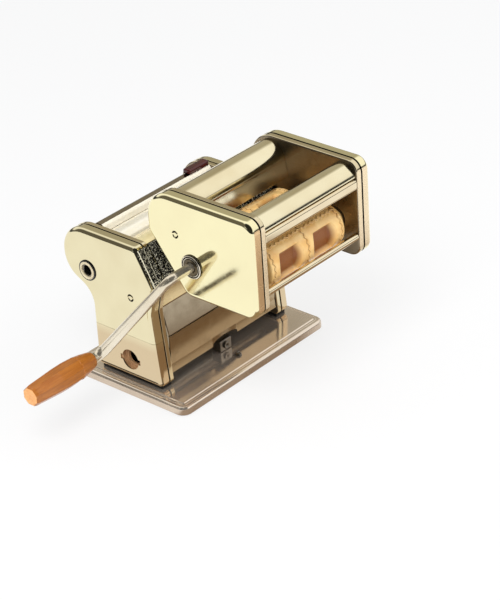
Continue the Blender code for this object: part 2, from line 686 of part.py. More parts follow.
def clamp_parts():
    """The block under the arch that the table clamp bears on, and the screw before it."""
    back = -CHEEK_FRONT + PANEL_INSET
    low = (-CLAMP_BLOCK_WIDTH / 2, back, BASE_TOP + SEAT)
    high = (CLAMP_BLOCK_WIDTH / 2, back + CLAMP_BLOCK_DEPTH, BASE_TOP + SLOT_HEIGHT - SEAT)
    body = block("clamp_block", low, high, STEEL)
    centre = Vector((0, BASE_TOP + SLOT_HEIGHT / 2))
    boss = prism("clamp_block_boss", [circle(centre, CLAMP_BOSS_RADIUS, ROUND_SIDES)], ALONG_Y,
                 back - CLAMP_BOSS_LENGTH, back + CLAMP_BOSS_LENGTH, STEEL)
    boolean(body, [boss], "UNION")
    place = Vector((0, -CHEEK_FRONT - CLAMP_SCREW_REACH))
    rings = []
    for a in (math.pi / 10 * k for k in range(5)):
        outline = circle(place, CLAMP_SCREW_RADIUS * math.cos(a), ROUND_SIDES // 2)
        rings.append([(x, y, BASE_TOP + SEAT + CLAMP_SCREW_RADIUS * math.sin(a)) for x, y in outline])
    loft("clamp_screw", rings, STEEL)


def tie_rods():
    """Two round rods that hold the side plates apart."""
    low = CHEEK_BOTTOM + TIE_ROD_INSET
    back = CHEEK_CORNERS[CORNER_BACK_LOW][0] - REAR_WALL_INSET - TIE_ROD_INSET
    front = -CHEEK_FRONT + PANEL_INSET + TIE_ROD_INSET
    reach = PLATE_INNER - SEAT
    ends = [(-reach, TIE_ROD_RADIUS), (reach, TIE_ROD_RADIUS)]
    for place, word in ((front, "front"), (back, "rear")):
        turned(f"tie_rod_{word}", ends, Vector((place, low)), STEEL, sides=ROUND_SIDES // 2)


def sheet_rollers():
    """Input shaft, the fixed rear roller and the front roller in its sliding blocks."""
    outer_end = BODY_HALF - COVER_WALL - JOURNAL_REACH
    gear_low = -(SEAM + GEAR_STANDOFF + GEAR_WIDTH)
    gear_high = gear_low + GEAR_WIDTH
    pitch = ROLLER_PITCH / 2
    toward_rear = math.atan2(REAR_AXIS.y - INPUT_AXIS.y, REAR_AXIS.x - INPUT_AXIS.x)
    step = 2 * math.pi / SHEET_GEAR_TEETH

    spin = joint_empty("input_joint", -SEAM, INPUT_AXIS)
    face = -(BODY_HALF + SEAT)
    inner = -(PLATE_INNER + SEAT)
    shaft = [(inner, INPUT_SHAFT_RADIUS), (face, INPUT_SHAFT_RADIUS), (face, SOCKET_RADIUS),
             (face + SOCKET_DEPTH - COVER_WALL, SOCKET_RADIUS)]
    turned("input_shaft", shaft, INPUT_AXIS, STEEL, spin)
    gear("input_gear", SHEET_GEAR_TEETH, pitch, gear_low, gear_high, INPUT_AXIS,
         INPUT_SHAFT_RADIUS + SEAT, toward_rear, spin)

    spin = joint_empty("rear_roller_joint", 0, REAR_AXIS)
    body = PLATE_INNER - 3 * SEAT
    right = PLATE_INNER + PLATE_WALL + BUSH_FLANGE + JOURNAL_REACH
    profile = [(-outer_end, JOURNAL_RADIUS), (-body, JOURNAL_RADIUS), (-body, SHEET_ROLLER_RADIUS),
               (body, SHEET_ROLLER_RADIUS), (body, JOURNAL_RADIUS), (right, JOURNAL_RADIUS)]
    turned("rear_sheet_roller", profile, REAR_AXIS, ROLLER_STEEL, spin, False, ROLLER_SIDES)
    rear_turn = toward_rear + math.pi + step / 2
    gear("rear_roller_gear", SHEET_GEAR_TEETH, pitch, gear_low, gear_high, REAR_AXIS,
         JOURNAL_RADIUS + SEAT, rear_turn, spin)

    spin = joint_empty("front_roller_joint", 0, FRONT_AXIS)
    turned("front_sheet_roller", profile, FRONT_AXIS, ROLLER_STEEL, spin, False, ROLLER_SIDES)
    # A tooth of the front gear faces the same phase as the rear gear's gap at angle pi
    offset_teeth = ((math.pi - rear_turn) / step) % 1
    front_turn = (offset_teeth + 0.5) * step
    gear("front_roller_gear", SHEET_GEAR_TEETH, pitch, gear_low, gear_high, FRONT_AXIS,
         JOURNAL_RADIUS + SEAT, front_turn, spin)


def carrier_blocks():
    """Bearing blocks of the front roller, guided in the side plates' windows."""
    slide = joint_empty("roller_gap_joint", 0, FRONT_AXIS)
    half_depth, half_height = BLOCK_DEPTH / 2, BLOCK_HEIGHT / 2 - SEAT
    bore = circle(FRONT_AXIS, JOURNAL_RADIUS + RUN, ROUND_SIDES)[::-1]
    outline = [(FRONT_AXIS.x + sx * half_depth, FRONT_AXIS.y + sy * half_height) for sx, sy in QUADRANTS]
    for side, word in ((-1, "left"), (1, "right")):
        span = sorted((side * PLATE_INNER, side * (SEAM - SEAT)))
        piece = prism(f"carrier_block_{word}", [outline, bore], ALONG_X, *span, STEEL, slide)
        if side > 0:
            far = SEAM + ECCENTRIC_WIDTH
            wall = ECCENTRIC_RADIUS + SHEET_GAP_OPEN / 2 + SEAT + BLOCK_FLANGE
            window_y = ECCENTRIC_RADIUS + 2 * SEAT
            window_z = ECCENTRIC_RADIUS + SHEET_GAP_OPEN / 2 + SEAT
            centre = FRONT_AXIS + Vector((SHEET_GAP_OPEN / 2, 0))
            yoke = [centre + Vector((sx * (window_y + BLOCK_FLANGE), sy * wall)) for sx, sy in QUADRANTS]
            hole = [centre + Vector((sx * window_y, sy * window_z)) for sx, sy in QUADRANTS[::-1]]
            plate = prism("carrier_yoke", [yoke, hole], ALONG_X, SEAM - 2 * SEAT, far, STEEL, slide)
            boolean(piece, [plate], "UNION")


def regulator():
    """Knob, spring and eccentric shaft that set the roller gap."""
    turn = joint_empty("regulator_joint", BODY_HALF, FRONT_AXIS)
    disc = SEAM + SEAT
    disc_end = disc + ECCENTRIC_WIDTH
    hub = KNOB_FACE
    head = hub + KNOB_DEPTH - KNOB_STANDOFF
    centre = FRONT_AXIS + Vector((SHEET_GAP_OPEN / 2, 0))
    end = head + REGULATOR_HEAD_LENGTH
    sections = [(disc, ECCENTRIC_RADIUS, centre), (disc_end, ECCENTRIC_RADIUS, centre),
                (disc_end, REGULATOR_RADIUS, FRONT_AXIS), (head, REGULATOR_RADIUS, FRONT_AXIS),
                (head, REGULATOR_HEAD, FRONT_AXIS), (end, REGULATOR_HEAD, FRONT_AXIS)]
    rings = [[(x, y, z) for y, z in circle(middle, radius, ROUND_SIDES)] for x, radius, middle in sections]
    loft("regulator_shaft", rings, STEEL, turn)

    low, high = hub + KNOB_WEB + SEAT + SPRING_WIRE, head - SEAT - SPRING_WIRE
    coil_radius = (REGULATOR_RADIUS + KNOB_CAVITY_RADIUS) / 2
    count = SPRING_TURNS * 8
    curve = bpy.data.curves.new("detent_spring", "CURVE")
    curve.dimensions = "3D"
    curve.bevel_depth = SPRING_WIRE
    curve.bevel_resolution = 1
    curve.use_fill_caps = True
    line = curve.splines.new("POLY")
    line.points.add(count)
    for k in range(count + 1):
        spot, = circle_point(FRONT_AXIS, coil_radius, 2 * math.pi * SPRING_TURNS * k / count)
        line.points[k].co = (low + (high - low) * k / count, *spot, 1)
    finish("detent_spring", curve, STEEL, turn)

    pull = joint_empty("knob_pull_joint", hub, FRONT_AXIS, turn)
    rim, bevel = KNOB_END, KNOB_RIM_BEVEL
    profile = [(hub, REGULATOR_RADIUS + SEAT), (hub, KNOB_RADIUS - bevel), (hub + bevel, KNOB_RADIUS),
               (rim - bevel, KNOB_RADIUS), (rim, KNOB_RADIUS - bevel), (rim, KNOB_CAVITY_RADIUS),
               (hub + KNOB_WEB, KNOB_CAVITY_RADIUS), (hub + KNOB_WEB, REGULATOR_RADIUS + SEAT)]
    rings = []
    sides = KNOB_FLUTES * 4
    for x, radius in profile:
        grip = KNOB_FLUTE_DEPTH if radius > KNOB_RADIUS - 2 * bevel else 0
        ring = []
        for k in range(sides):
            spot, = circle_point(FRONT_AXIS, radius - (grip if k % 4 < 2 else 0), 2 * math.pi * k / sides)
            ring.append((x, *spot))
        rings.append(ring)
    loft("regulator_knob", rings, BLACK_PLASTIC, pull, closed=True)


def bearing(name, side, inner, axes, bores, look, empty=None):
    """A bearing plate outside a cheek plate, with one bush through it per shaft."""
    face = inner + PLATE_WALL + SEAT
    outline = stadium(axes[0], axes[-1], max(bores) + BUSH_WALL + BUSH_FLANGE_RISE)
    span = sorted((side * face, side * (face + BUSH_FLANGE)))
    plate = prism(name, [outline], ALONG_X, *span, look, empty)
    bush = sorted((side * (inner - SEAT), side * (face + SEAT)))
    drill = sorted((side * (inner - OVERRUN), side * (face + BUSH_FLANGE + OVERRUN)))
    shafts = list(enumerate(zip(axes, bores)))
    bushes = [plug(f"{name}_bush_{i}", axis, bore + BUSH_WALL, *bush) for i, (axis, bore) in shafts]
    boolean(plate, bushes, "UNION")
    boolean(plate, [plug(f"{name}_bore_{i}", axis, bore, *drill) for i, (axis, bore) in shafts])


def body_bearings():
    """Bearings in the side plates, the ring round the crank socket and the motor ring."""
    bore = JOURNAL_RADIUS + RUN
    input_bore = INPUT_SHAFT_RADIUS + RUN
    axes, bores = (REAR_AXIS, INPUT_AXIS), (bore, input_bore)
    bearing("roller_bearing_left", -1, PLATE_INNER, axes, bores, WHITE_PLASTIC)
    bearing("roller_bearing_right", 1, PLATE_INNER, axes[:1], bores[:1], WHITE_PLASTIC)
    wall = input_bore + BUSH_WALL
    face = BODY_HALF + SEAT
    back = face - COVER_WALL - BUSH_FLANGE
    profile = [(back, input_bore), (back, wall), (face, wall), (face, wall + BUSH_FLANGE_RISE),
               (face + BUSH_FLANGE, wall), (face + BUSH_FLANGE, input_bore)]
    turned("input_bush", mirrored(-1, profile), INPUT_AXIS, WHITE_PLASTIC, None, True, SMALL_SIDES)
    inner, outer = MOTOR_HOLE_RADIUS + SEAT, MOTOR_HOLE_RADIUS + SEAT + MOTOR_RING_WALL
    start = BODY_HALF - COVER_WALL - SEAT
    end = start - MOTOR_RING_LENGTH
    profile = [(start, inner), (start, outer), (end, outer), (end, inner)]
    turned("motor_ring", mirrored(-1, profile), MOTOR_AXIS, DARK_STEEL, None, True)


def blade(name, axis, radius, angle, lean, length, wall, half, look, empty=None):
    """A flat blade whose edge stands at an angle round a roller and leans away from it."""
    tip = axis + radius * Vector((math.cos(angle), math.sin(angle)))
    along = Vector((math.cos(lean), math.sin(lean))) * length
    across = Vector((-along.y, along.x)).normalized() * wall / 2
    outline = [tip - across, tip + across, tip + along + across, tip + along - across]
    return prism(name, [outline], ALONG_X, -half, half, look, empty)


def scrapers():
    """Blades that clean the sheet rollers from below."""
    reach = PLATE_INNER - SEAT
    radius = SHEET_ROLLER_RADIUS + SCRAPER_CLEARANCE
    down = -math.pi / 2
    blade("scraper_rear", REAR_AXIS, radius, -SCRAPER_ANGLE, down,
          SCRAPER_LENGTH, SCRAPER_WALL, reach, STEEL)
    blade("scraper_front", FRONT_AXIS, radius + SHEET_GAP_OPEN, SCRAPER_ANGLE - math.pi, down,
          SCRAPER_LENGTH, SCRAPER_WALL, reach, STEEL)


def rails():
    """Ribbed rails with a T slot on the slanted face of the body."""
    hw, t = RAIL_HALF_WIDTH, RAIL_THICKNESS
    place, g, d = RAIL_GROOVE_PLACE_SHARE * RAIL_HALF_WIDTH, RAIL_GROOVE_HALF_WIDTH, RAIL_GROOVE_DEPTH
    half = [(hw, t), (place + g, t), (place + g, t - d), (place - g, t - d), (place - g, t)]
    section = [(-hw, 0), (hw, 0)] + half + [(-u, v) for u, v in half[::-1]]
    slot = SHOE_WALL / 2 + RUN
    c, low, high = RAIL_CAVITY_HALF_WIDTH, RAIL_CAVITY_LOW, RAIL_CAVITY_HIGH
    tee = [(-c, low), (c, low), (c, high), (slot, high), (slot, t + OVERRUN)]
    tee += [(-slot, t + OVERRUN), (-slot, high), (-c, high)]
    for side, word in ((-1, "left"), (1, "right")):
        frame = (RAIL_ORIGIN + side * SHOE_CENTRE * X + SEAT * RAIL_OUT, X, RAIL_OUT, RAIL_UP)
        rail = prism(f"rail_{word}", [section], frame, RAIL_FOOT, RAIL_FOOT + RAIL_LENGTH, DARK_STEEL)
        tool = prism(f"rail_{word}_slot", [tee], frame, RAIL_FOOT + RAIL_STOP,
                     RAIL_FOOT + RAIL_LENGTH + OVERRUN, STEEL)
        boolean(rail, [tool])


def shoes(unit):
    """The ravioli unit's hooks: a T head in each rail and a web to the cheek plate."""
    origin = RAIL_ORIGIN + SEAT * RAIL_OUT
    low_corner = Vector((0, *UNIT_CORNERS[UNIT_CORNER_BACK_LOW][:2]))
    high_corner = Vector((0, *UNIT_CORNERS[UNIT_CORNER_BACK_HIGH][:2]))
    inward = X.cross((high_corner - low_corner).normalized())
    start = RAIL_FOOT + RAIL_STOP + SEAT
    neck = RAIL_CAVITY_HIGH - SEAT - RUN
    web = [origin + neck * RAIL_OUT + start * RAIL_UP,
           origin + neck * RAIL_OUT + (start + SHOE_LENGTH) * RAIL_UP,
           high_corner.lerp(low_corner, SHOE_HIGH_SHARE) + SHOE_OVERLAP * inward,
           high_corner.lerp(low_corner, SHOE_LOW_SHARE) + SHOE_OVERLAP * inward,
           origin + (RAIL_THICKNESS + RUN) * RAIL_OUT + start * RAIL_UP]
    outline = [(p.y, p.z) for p in web]
    head, low, high = RAIL_CAVITY_HALF_WIDTH - RUN, RAIL_CAVITY_LOW + RUN, RAIL_CAVITY_HIGH - RUN
    tee = [(-head, low), (head, low), (head, high), (-head, high)]
    for side, word in ((-1, "left"), (1, "right")):
        centre = side * SHOE_CENTRE
        shoe = prism(f"rail_shoe_{word}", [outline], ALONG_X, centre - SHOE_WALL / 2,
                     centre + SHOE_WALL / 2, DARK_STEEL, unit)
        frame = (origin + centre * X, X, RAIL_OUT, RAIL_UP)
        hook = prism(f"rail_shoe_{word}_head", [tee], frame, start, start + SHOE_LENGTH, STEEL, unit)
        boolean(shoe, [hook], "UNION")


def unit_cheeks(unit):
    """Both cheeks of the ravioli unit with their bearing holes."""
    hole = FORMING_JOURNAL_RADIUS + RUN + BUSH_WALL + SEAT
    ring = FORMING_JOURNAL_RADIUS + RUN + CRANK_BUSH_WALL + SEAT
    for side, word in ((-1, "left"), (1, "right")):
        cover = pressed_cover(f"ravioli_cover_{word}", UNIT_CORNERS, side, UNIT_HALF,
                              UNIT_COVER_DEPTH, CHROME, unit)
        plate = pressed_plate(f"ravioli_plate_{word}", UNIT_CORNERS, side, UNIT_INNER,
                              UNIT_PLATE_DEPTH, STEEL, unit)
        span = sorted((side * (UNIT_INNER - OVERRUN), side * (UNIT_INNER + PLATE_WALL + OVERRUN)))
        boolean(plate, [plug(f"crank_axis_hole_{word}", CRANK_AXIS, hole, *span),
                        plug(f"front_axis_hole_{word}", FORMING_AXIS, hole, *span)])
        if side < 0:
            outside = (-UNIT_HALF - OVERRUN, -UNIT_HALF + COVER_WALL + OVERRUN)
            boolean(cover, [plug("crank_hole", CRANK_AXIS, ring, *outside)])


def unit_bars(unit):
    """Front bars, rear cross bar and the curved guides that carry the dough sheets."""
    reach = UNIT_INNER - SEAT
    front = UNIT_FRONT + SEAT
    for name, share, height in (("upper_front_bar", UPPER_BAR_SHARE, UPPER_BAR_HEIGHT),
                                ("lower_front_bar", LOWER_BAR_SHARE, LOWER_BAR_HEIGHT)):
        low = UNIT_BOTTOM + share * UNIT_HEIGHT
        corners = [(front, low, BAR_BEVEL), (front + BAR_DEPTH, low, BAR_BEVEL),
                   (front + BAR_DEPTH, low + height, BAR_BEVEL), (front, low + height, BAR_BEVEL)]
        prism(name, [rounded(corners)], ALONG_X, -reach, reach, CHROME, unit)
    spot = Vector((UNIT_FRONT + CROSS_BAR_BACK_SHARE * UNIT_DEPTH,
                   UNIT_BOTTOM + CROSS_BAR_UP_SHARE * UNIT_HEIGHT))
    ends = [(-reach, CROSS_BAR_RADIUS), (reach, CROSS_BAR_RADIUS)]
    turned("rear_cross_bar", ends, spot, STEEL, unit, sides=SMALL_SIDES)

    level = UNIT_TOP - GUIDE_TOP_DROP
    rear = Vector((UNIT_FRONT + REAR_GUIDE_SHARE * UNIT_DEPTH, level - REAR_GUIDE_RADIUS))
    path = arc(rear, REAR_GUIDE_RADIUS, 0, math.pi, 10)
    path.insert(0, path[0] - Vector((0, GUIDE_SKIRT_LENGTH)))
    lean = Vector((-math.sin(GUIDE_THROAT_LEAN), -math.cos(GUIDE_THROAT_LEAN)))
    path.append(path[-1] + GUIDE_THROAT_LENGTH * lean)
    prism("rear_dough_guide", [strip(path, 0, GUIDE_WALL)], ALONG_X, -reach, reach, CHROME, unit)
    ahead = Vector((UNIT_FRONT + FRONT_GUIDE_INSET + FRONT_GUIDE_RADIUS, level - FRONT_GUIDE_RADIUS))
    path = arc(ahead, FRONT_GUIDE_RADIUS, 0, GUIDE_FRONT_END, 10)
    lean = Vector((math.sin(GUIDE_THROAT_LEAN), -math.cos(GUIDE_THROAT_LEAN)))
    path.insert(0, path[0] + GUIDE_THROAT_LENGTH * lean)
    prism("front_dough_guide", [strip(path, 0, GUIDE_WALL)], ALONG_X, -reach, reach, CHROME, unit)


def unit_bearings(unit):
    """Bearing plates of the forming rollers and the ring round the crank."""
    bore = FORMING_JOURNAL_RADIUS + RUN
    axes, bores = (FORMING_AXIS, CRANK_AXIS), (bore, bore)
    for side, word in ((-1, "left"), (1, "right")):
        bearing(f"forming_bearing_{word}", side, UNIT_INNER, axes, bores, STEEL, unit)
    wall = bore + CRANK_BUSH_WALL
    face = UNIT_HALF + SEAT
    back = face - COVER_WALL - BUSH_FLANGE
    profile = [(back, bore), (back, wall), (face, wall), (face, wall + BUSH_FLANGE_RISE / 2),
               (face + BUSH_FLANGE, wall - SEAT), (face + BUSH_FLANGE, bore)]
    turned("crank_bush", mirrored(-1, profile), CRANK_AXIS, WHITE_PLASTIC, unit, True)


def ridge_rings(name, axis, phase, empty):
    """Zigzag rings round a forming roller: at both ends and between the two rows."""
    steps = 2 * ZIGZAGS_ROUND
    w = RIDGE_HALF_WIDTH
    helpers = []
    for number, place in enumerate((-CELL, 0.0, CELL)):
        rings = []
        for k in range(steps):
            a = phase + 2 * math.pi * (k + 0.5) / steps
            x = place + (ZIGZAG_REACH if k % 2 else -ZIGZAG_REACH)
            arm = Vector((math.cos(a), math.sin(a)))
            inner, outer = axis + (FORMING_BODY - RIDGE_SINK) * arm, axis + FORMING_RADIUS * arm
            rings.append([(x - w, *inner), (x - w, *outer), (x + w, *outer), (x + w, *inner)])
        helpers.append(loft(f"{name}_ring_{number}", rings, FORMING, empty, True))
    return helpers


def ridge_bars(name, axis, phase, empty):
    """Zigzag ridges along a forming roller, one at each cell's end."""
    steps = 2 * ZIGZAGS_ALONG
    low, high = FORMING_BODY - 2 * RIDGE_SINK, FORMING_RADIUS
    helpers = []
    for cell in range(CELLS_ROUND):
        middle = phase + 2 * math.pi * cell / CELLS_ROUND
        rings = []
        for k in range(steps + 1):
            x = -CELL + 2 * CELL * k / steps
            shift = (ZIGZAG_REACH if k % 2 else -ZIGZAG_REACH) / FORMING_RADIUS
            half = RIDGE_HALF_WIDTH / FORMING_RADIUS
            arms = [(middle + shift + side * half, radius) for side, radius in
                    ((-1, low), (-1, high), (1, high), (1, low))]
            rings.append([(x, *(axis + radius * Vector((math.cos(a), math.sin(a))))) for a, radius in arms])
        helpers.append(loft(f"{name}_bar_{cell}", rings, FORMING, empty))
    return helpers


def pocket_tools(name, axis, phase, empty):
    """Tapered, round-cornered cutters for the pockets between the ridges."""
    helpers = []
    grow = (POCKET_MOUTH - POCKET_FLOOR) / 2 / POCKET_DEPTH
    for cell in range(CELLS_ROUND):
        a = phase + 2 * math.pi * (cell + 0.5) / CELLS_ROUND
        out = Vector((0, math.cos(a), math.sin(a)))
        across = X.cross(out)
        for row, place in enumerate((-CELL / 2, CELL / 2)):
            rings = []
            for height in (-POCKET_DEPTH, OVERRUN):
                half = POCKET_MOUTH / 2 + grow * height
                corners = [(sx * half, sy * half, POCKET_CORNER) for sx, sy in QUADRANTS]
                middle = Vector((place, *axis)) + (FORMING_BODY + height) * out
                rings.append([middle + u * X + v * across for u, v in rounded(corners, step=POCKET_STEP)])
            helpers.append(loft(f"{name}_pocket_{cell}_{row}", rings, FORMING, empty))
    return helpers


def forming_roller(name, axis, phase, profile, empty):
    """A roller with pockets for the filling and zigzag ridges that seal and cut."""
    roller = turned(name, profile, axis, FORMING, empty, False, FORMING_SIDES)
    boolean(roller, ridge_rings(name, axis, phase, empty) + ridge_bars(name, axis, phase, empty), "UNION")
    boolean(roller, pocket_tools(name, axis, phase, empty))
    return roller


def forming_rollers(unit):
    """The driven rear roller with the crank socket, and the front one geared to it."""
    collar = UNIT_INNER - 3 * SEAT
    right = UNIT_INNER + PLATE_WALL + BUSH_FLANGE + JOURNAL_REACH
    journal, neck = FORMING_JOURNAL_RADIUS, FORMING_COLLAR_RADIUS
    body = [(right, journal), (collar, journal), (collar, neck), (FORMING_HALF, neck),
            (FORMING_HALF, FORMING_BODY), (-FORMING_HALF, FORMING_BODY),
            (-FORMING_HALF, neck), (-collar, neck), (-collar, journal)]
    face = UNIT_HALF + BUSH_FLANGE + 2 * SEAT
    socket = CRANK_TIP_RADIUS + RUN
    driven = body + [(-face, journal), (-face, socket), (-face + CRANK_PLUG_DEPTH, socket)]
    gear_low = -(UNIT_SEAM + GEAR_STANDOFF + GEAR_WIDTH)
    gear_high = gear_low + GEAR_WIDTH
    pitch = FORMING_PITCH / 2
    step = 2 * math.pi / FORMING_GEAR_TEETH

    spin = joint_empty("forming_joint", 0, CRANK_AXIS, unit)
    forming_roller("rear_forming_roller", CRANK_AXIS, math.pi, driven, spin)
    gear("rear_forming_gear", FORMING_GEAR_TEETH, pitch, gear_low, gear_high, CRANK_AXIS,
         journal + SEAT, math.pi, spin)
    idle = joint_empty("front_forming_joint", 0, FORMING_AXIS, unit)
    idle_end = -(UNIT_HALF - COVER_WALL - JOURNAL_REACH)
    forming_roller("front_forming_roller", FORMING_AXIS, 0, body + [(idle_end, journal)], idle)
    gear("front_forming_gear", FORMING_GEAR_TEETH, pitch, gear_low, gear_high, FORMING_AXIS,
         journal + SEAT, step / 2, idle)
    return spin


def strippers(unit):
    """Blades under the forming rollers that lift the dough out of the pockets."""
    reach = UNIT_INNER - SEAT
    radius = FORMING_RADIUS + STRIPPER_CLEARANCE
    blade("stripper_rear", CRANK_AXIS, radius, math.pi + STRIPPER_ANGLE, -STRIPPER_LEAN,
          STRIPPER_LENGTH, STRIPPER_WALL, reach, STEEL, unit)
    blade("stripper_front", FORMING_AXIS, radius, -STRIPPER_ANGLE, STRIPPER_LEAN - math.pi,
          STRIPPER_LENGTH, STRIPPER_WALL, reach, STEEL, unit)


def bend(before, corner, after, radius, steps):
    """Points of the arc that rounds one corner of a bent rod."""
    back, forth = (before - corner).normalized(), (after - corner).normalized()
    half = back.angle(forth) / 2
    centre = corner + (back + forth).normalized() * radius / math.sin(half)
    start = corner + back * radius / math.tan(half) - centre
    end = corner + forth * radius / math.tan(half) - centre
    return [centre + radius * start.slerp(end, k / steps) for k in range(steps + 1)]


def crank(spin):
    """The bent rod that plugs into the socket, and the turned handle on its end."""
    plug = -(UNIT_HALF + BUSH_FLANGE + 2 * SEAT) + CRANK_TIP_DEPTH
    knee_x = CRANK_ELBOW - CRANK_SPLAY
    arm = CRANK_LENGTH * Vector((math.cos(CRANK_ANGLE), -math.sin(CRANK_ANGLE)))
    handle_axis = CRANK_AXIS + arm
    tip, elbow = Vector((plug, *CRANK_AXIS)), Vector((CRANK_ELBOW, *CRANK_AXIS))
    knee, last = Vector((knee_x, *handle_axis)), Vector((HANDLE_END + HANDLE_WOOD_END, *handle_axis))
    first = bend(tip, elbow, knee, CRANK_BEND_RADIUS, CRANK_POINTS)
    second = bend(elbow, knee, last, CRANK_BEND_RADIUS, CRANK_POINTS)
    neck = Vector((HANDLE_START + SEAT, *handle_axis))
    slim = Vector((HANDLE_START + 3 * SEAT, *handle_axis))
    route = [(tip, CRANK_TIP_RADIUS)] + [(p, CRANK_RADIUS) for p in first]
    route += [(p, CRANK_ARM_RADIUS) for p in second]
    route += [(slim, CRANK_RADIUS), (neck, SPINDLE_RADIUS), (last, SPINDLE_RADIUS)]
    curve = bpy.data.curves.new("crank_rod", "CURVE")
    curve.dimensions = "3D"
    curve.bevel_depth = CRANK_ARM_RADIUS
    curve.bevel_resolution = 2
    curve.use_fill_caps = True
    line = curve.splines.new("POLY")
    line.points.add(len(route) - 1)
    for point, (place, radius) in zip(line.points, route):
        point.co = (*place, 1)
        point.radius = radius / CRANK_ARM_RADIUS
    pull = joint_empty("crank_pull_joint", -UNIT_HALF, CRANK_AXIS, spin)
    finish("crank_rod", curve, CHROME, pull)

    turn = joint_empty("handle_joint", HANDLE_START, handle_axis, pull)
    bore = SPINDLE_RADIUS + RUN
    profile = [(last.x - RUN, bore), (HANDLE_START, bore)]
    profile += [(HANDLE_START - along * HANDLE_LENGTH, width * HANDLE_RADIUS)
                for along, width in HANDLE_SHARES]
    turned("crank_handle", profile, handle_axis, WOOD, turn, sides=SMALL_SIDES)


def build():
    """Make every piece of the object."""
    clear_scene()
    base_tray()
    feet_and_pads()
    cheeks()
    panels()
    clamp_parts()
    tie_rods()
    body_bearings()
    scrapers()
    rails()
    sheet_rollers()
    carrier_blocks()
    regulator()
    unit = joint_empty("unit_lift_joint", 0, RAIL_ORIGIN.yz)
    unit_cheeks(unit)
    unit_bars(unit)
    unit_bearings(unit)
    shoes(unit)
    strippers(unit)
    crank(forming_rollers(unit))
    for thing in bpy.data.objects:
        if thing.parent is None:
            thing.location -= MIDDLE


build()
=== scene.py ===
"""A ravioli maker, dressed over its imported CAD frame.

Lengths are bench millimetres: X runs along the rollers, -Y is the front, Z is up and the middle of the
base is the origin. Every surface is worked out as whole numpy arrays, and moved to the frame's metres
when its mesh is made.
"""

import json
import logging
from collections.abc import Callable, Sequence
from dataclasses import dataclass, field
from enum import Enum

import bmesh
import bpy
import numpy as np
from mathutils import Matrix, Vector
from mathutils.geometry import tessellate_polygon

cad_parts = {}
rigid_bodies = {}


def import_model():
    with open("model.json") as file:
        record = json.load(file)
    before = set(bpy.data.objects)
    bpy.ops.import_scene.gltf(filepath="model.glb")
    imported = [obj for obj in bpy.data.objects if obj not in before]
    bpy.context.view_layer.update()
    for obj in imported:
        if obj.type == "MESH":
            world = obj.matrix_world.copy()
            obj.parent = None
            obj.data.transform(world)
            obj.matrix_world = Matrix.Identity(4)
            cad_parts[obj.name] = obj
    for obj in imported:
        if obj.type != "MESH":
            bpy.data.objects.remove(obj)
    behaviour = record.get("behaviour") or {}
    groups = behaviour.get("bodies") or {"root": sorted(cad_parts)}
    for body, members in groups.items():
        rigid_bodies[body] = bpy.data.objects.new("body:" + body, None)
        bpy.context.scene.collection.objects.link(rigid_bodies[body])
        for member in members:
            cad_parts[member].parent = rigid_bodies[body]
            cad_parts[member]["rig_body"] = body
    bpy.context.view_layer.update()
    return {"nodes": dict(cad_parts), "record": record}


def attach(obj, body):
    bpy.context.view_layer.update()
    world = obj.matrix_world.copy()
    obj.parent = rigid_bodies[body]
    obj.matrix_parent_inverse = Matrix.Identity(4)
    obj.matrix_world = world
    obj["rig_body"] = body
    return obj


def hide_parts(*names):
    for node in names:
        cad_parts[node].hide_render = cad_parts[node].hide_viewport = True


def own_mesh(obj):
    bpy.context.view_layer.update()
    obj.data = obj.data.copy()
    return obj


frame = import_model()

log = logging.getLogger("ravioli_maker")

MM = 0.001
TAU = 2 * np.pi
# The frame's origin in bench millimetres, the play between seated pieces, and the reach of merging in metres
MIDDLE = np.array([-55.5, -37.5, 0.0])
SEAT = 0.3
MERGE = 2e-6

Array = np.ndarray
# A rule picks faces by their middles; rows are (u, v, corner radius); a path is points and outward normals
Rule = Callable[[Array], Array]
Rows = Sequence[Sequence[float]]
Path = tuple[Array, Array]
Socket = bpy.types.NodeSocket
Triple = tuple[float, float, float]

# Axes of the turning pieces as (y, z)
REAR_AXIS = np.array([25.554, 133.8])
FRONT_AXIS = np.array([-4.046, 133.8])
INPUT_AXIS = np.array([44.538, 111.08947944])
MOTOR_AXIS = np.array([0.355, 31.904])
CRANK_AXIS = np.array([-77.464, 148.4175])
IDLE_AXIS = np.array([-122.864, 148.4175])
HANDLE_AXIS = np.array([-4.21609878, 59.24404562])


class Side(Enum):
    """Left or right half of the machine, with the sign of its X."""

    LEFT = -1
    RIGHT = 1

    @property
    def word(self) -> str:
        """The side's name as the nodes spell it."""
        return self.name.lower()


# Surfaces -----------------------------------------------------------------------------------------


@dataclass
class Patch:
    """Part of a surface: points in bench millimetres, and blocks of faces with equal corner counts."""

    points: Array
    faces: list[Array]

    def swapped(self, *order: int) -> "Patch":
        """The same surface with its coordinates in another order."""
        return Patch(self.points[:, list(order)], self.faces)


def joined(patches: Sequence[Patch]) -> Patch:
    """Several patches as one.

    Args:
        patches: The patches, in any order.

    Returns:
        One patch with all points and faces.
    """
    starts = np.cumsum([0] + [len(patch.points) for patch in patches])
    faces = [block + start for patch, start in zip(patches, starts) for block in patch.faces]
    return Patch(np.concatenate([patch.points for patch in patches]), faces)


def grid(points: Array, ringed: bool = False, looped: bool = False) -> Patch:
    """Quads between neighbours of a grid of points.

    Args:
        points: Array of rows, columns and three coordinates.
        ringed: Join the last column to the first.
        looped: Join the last row to the first.

    Returns:
        The grid as a patch.
    """
    index = np.arange(points.shape[0] * points.shape[1]).reshape(points.shape[:2])
    if looped:
        index = np.vstack([index, index[:1]])
    if ringed:
        index = np.hstack([index, index[:, :1]])
    corners = (index[:-1, :-1], index[:-1, 1:], index[1:, 1:], index[1:, :-1])
    return Patch(points.reshape(-1, 3), [np.stack(corners, axis=-1).reshape(-1, 4)])


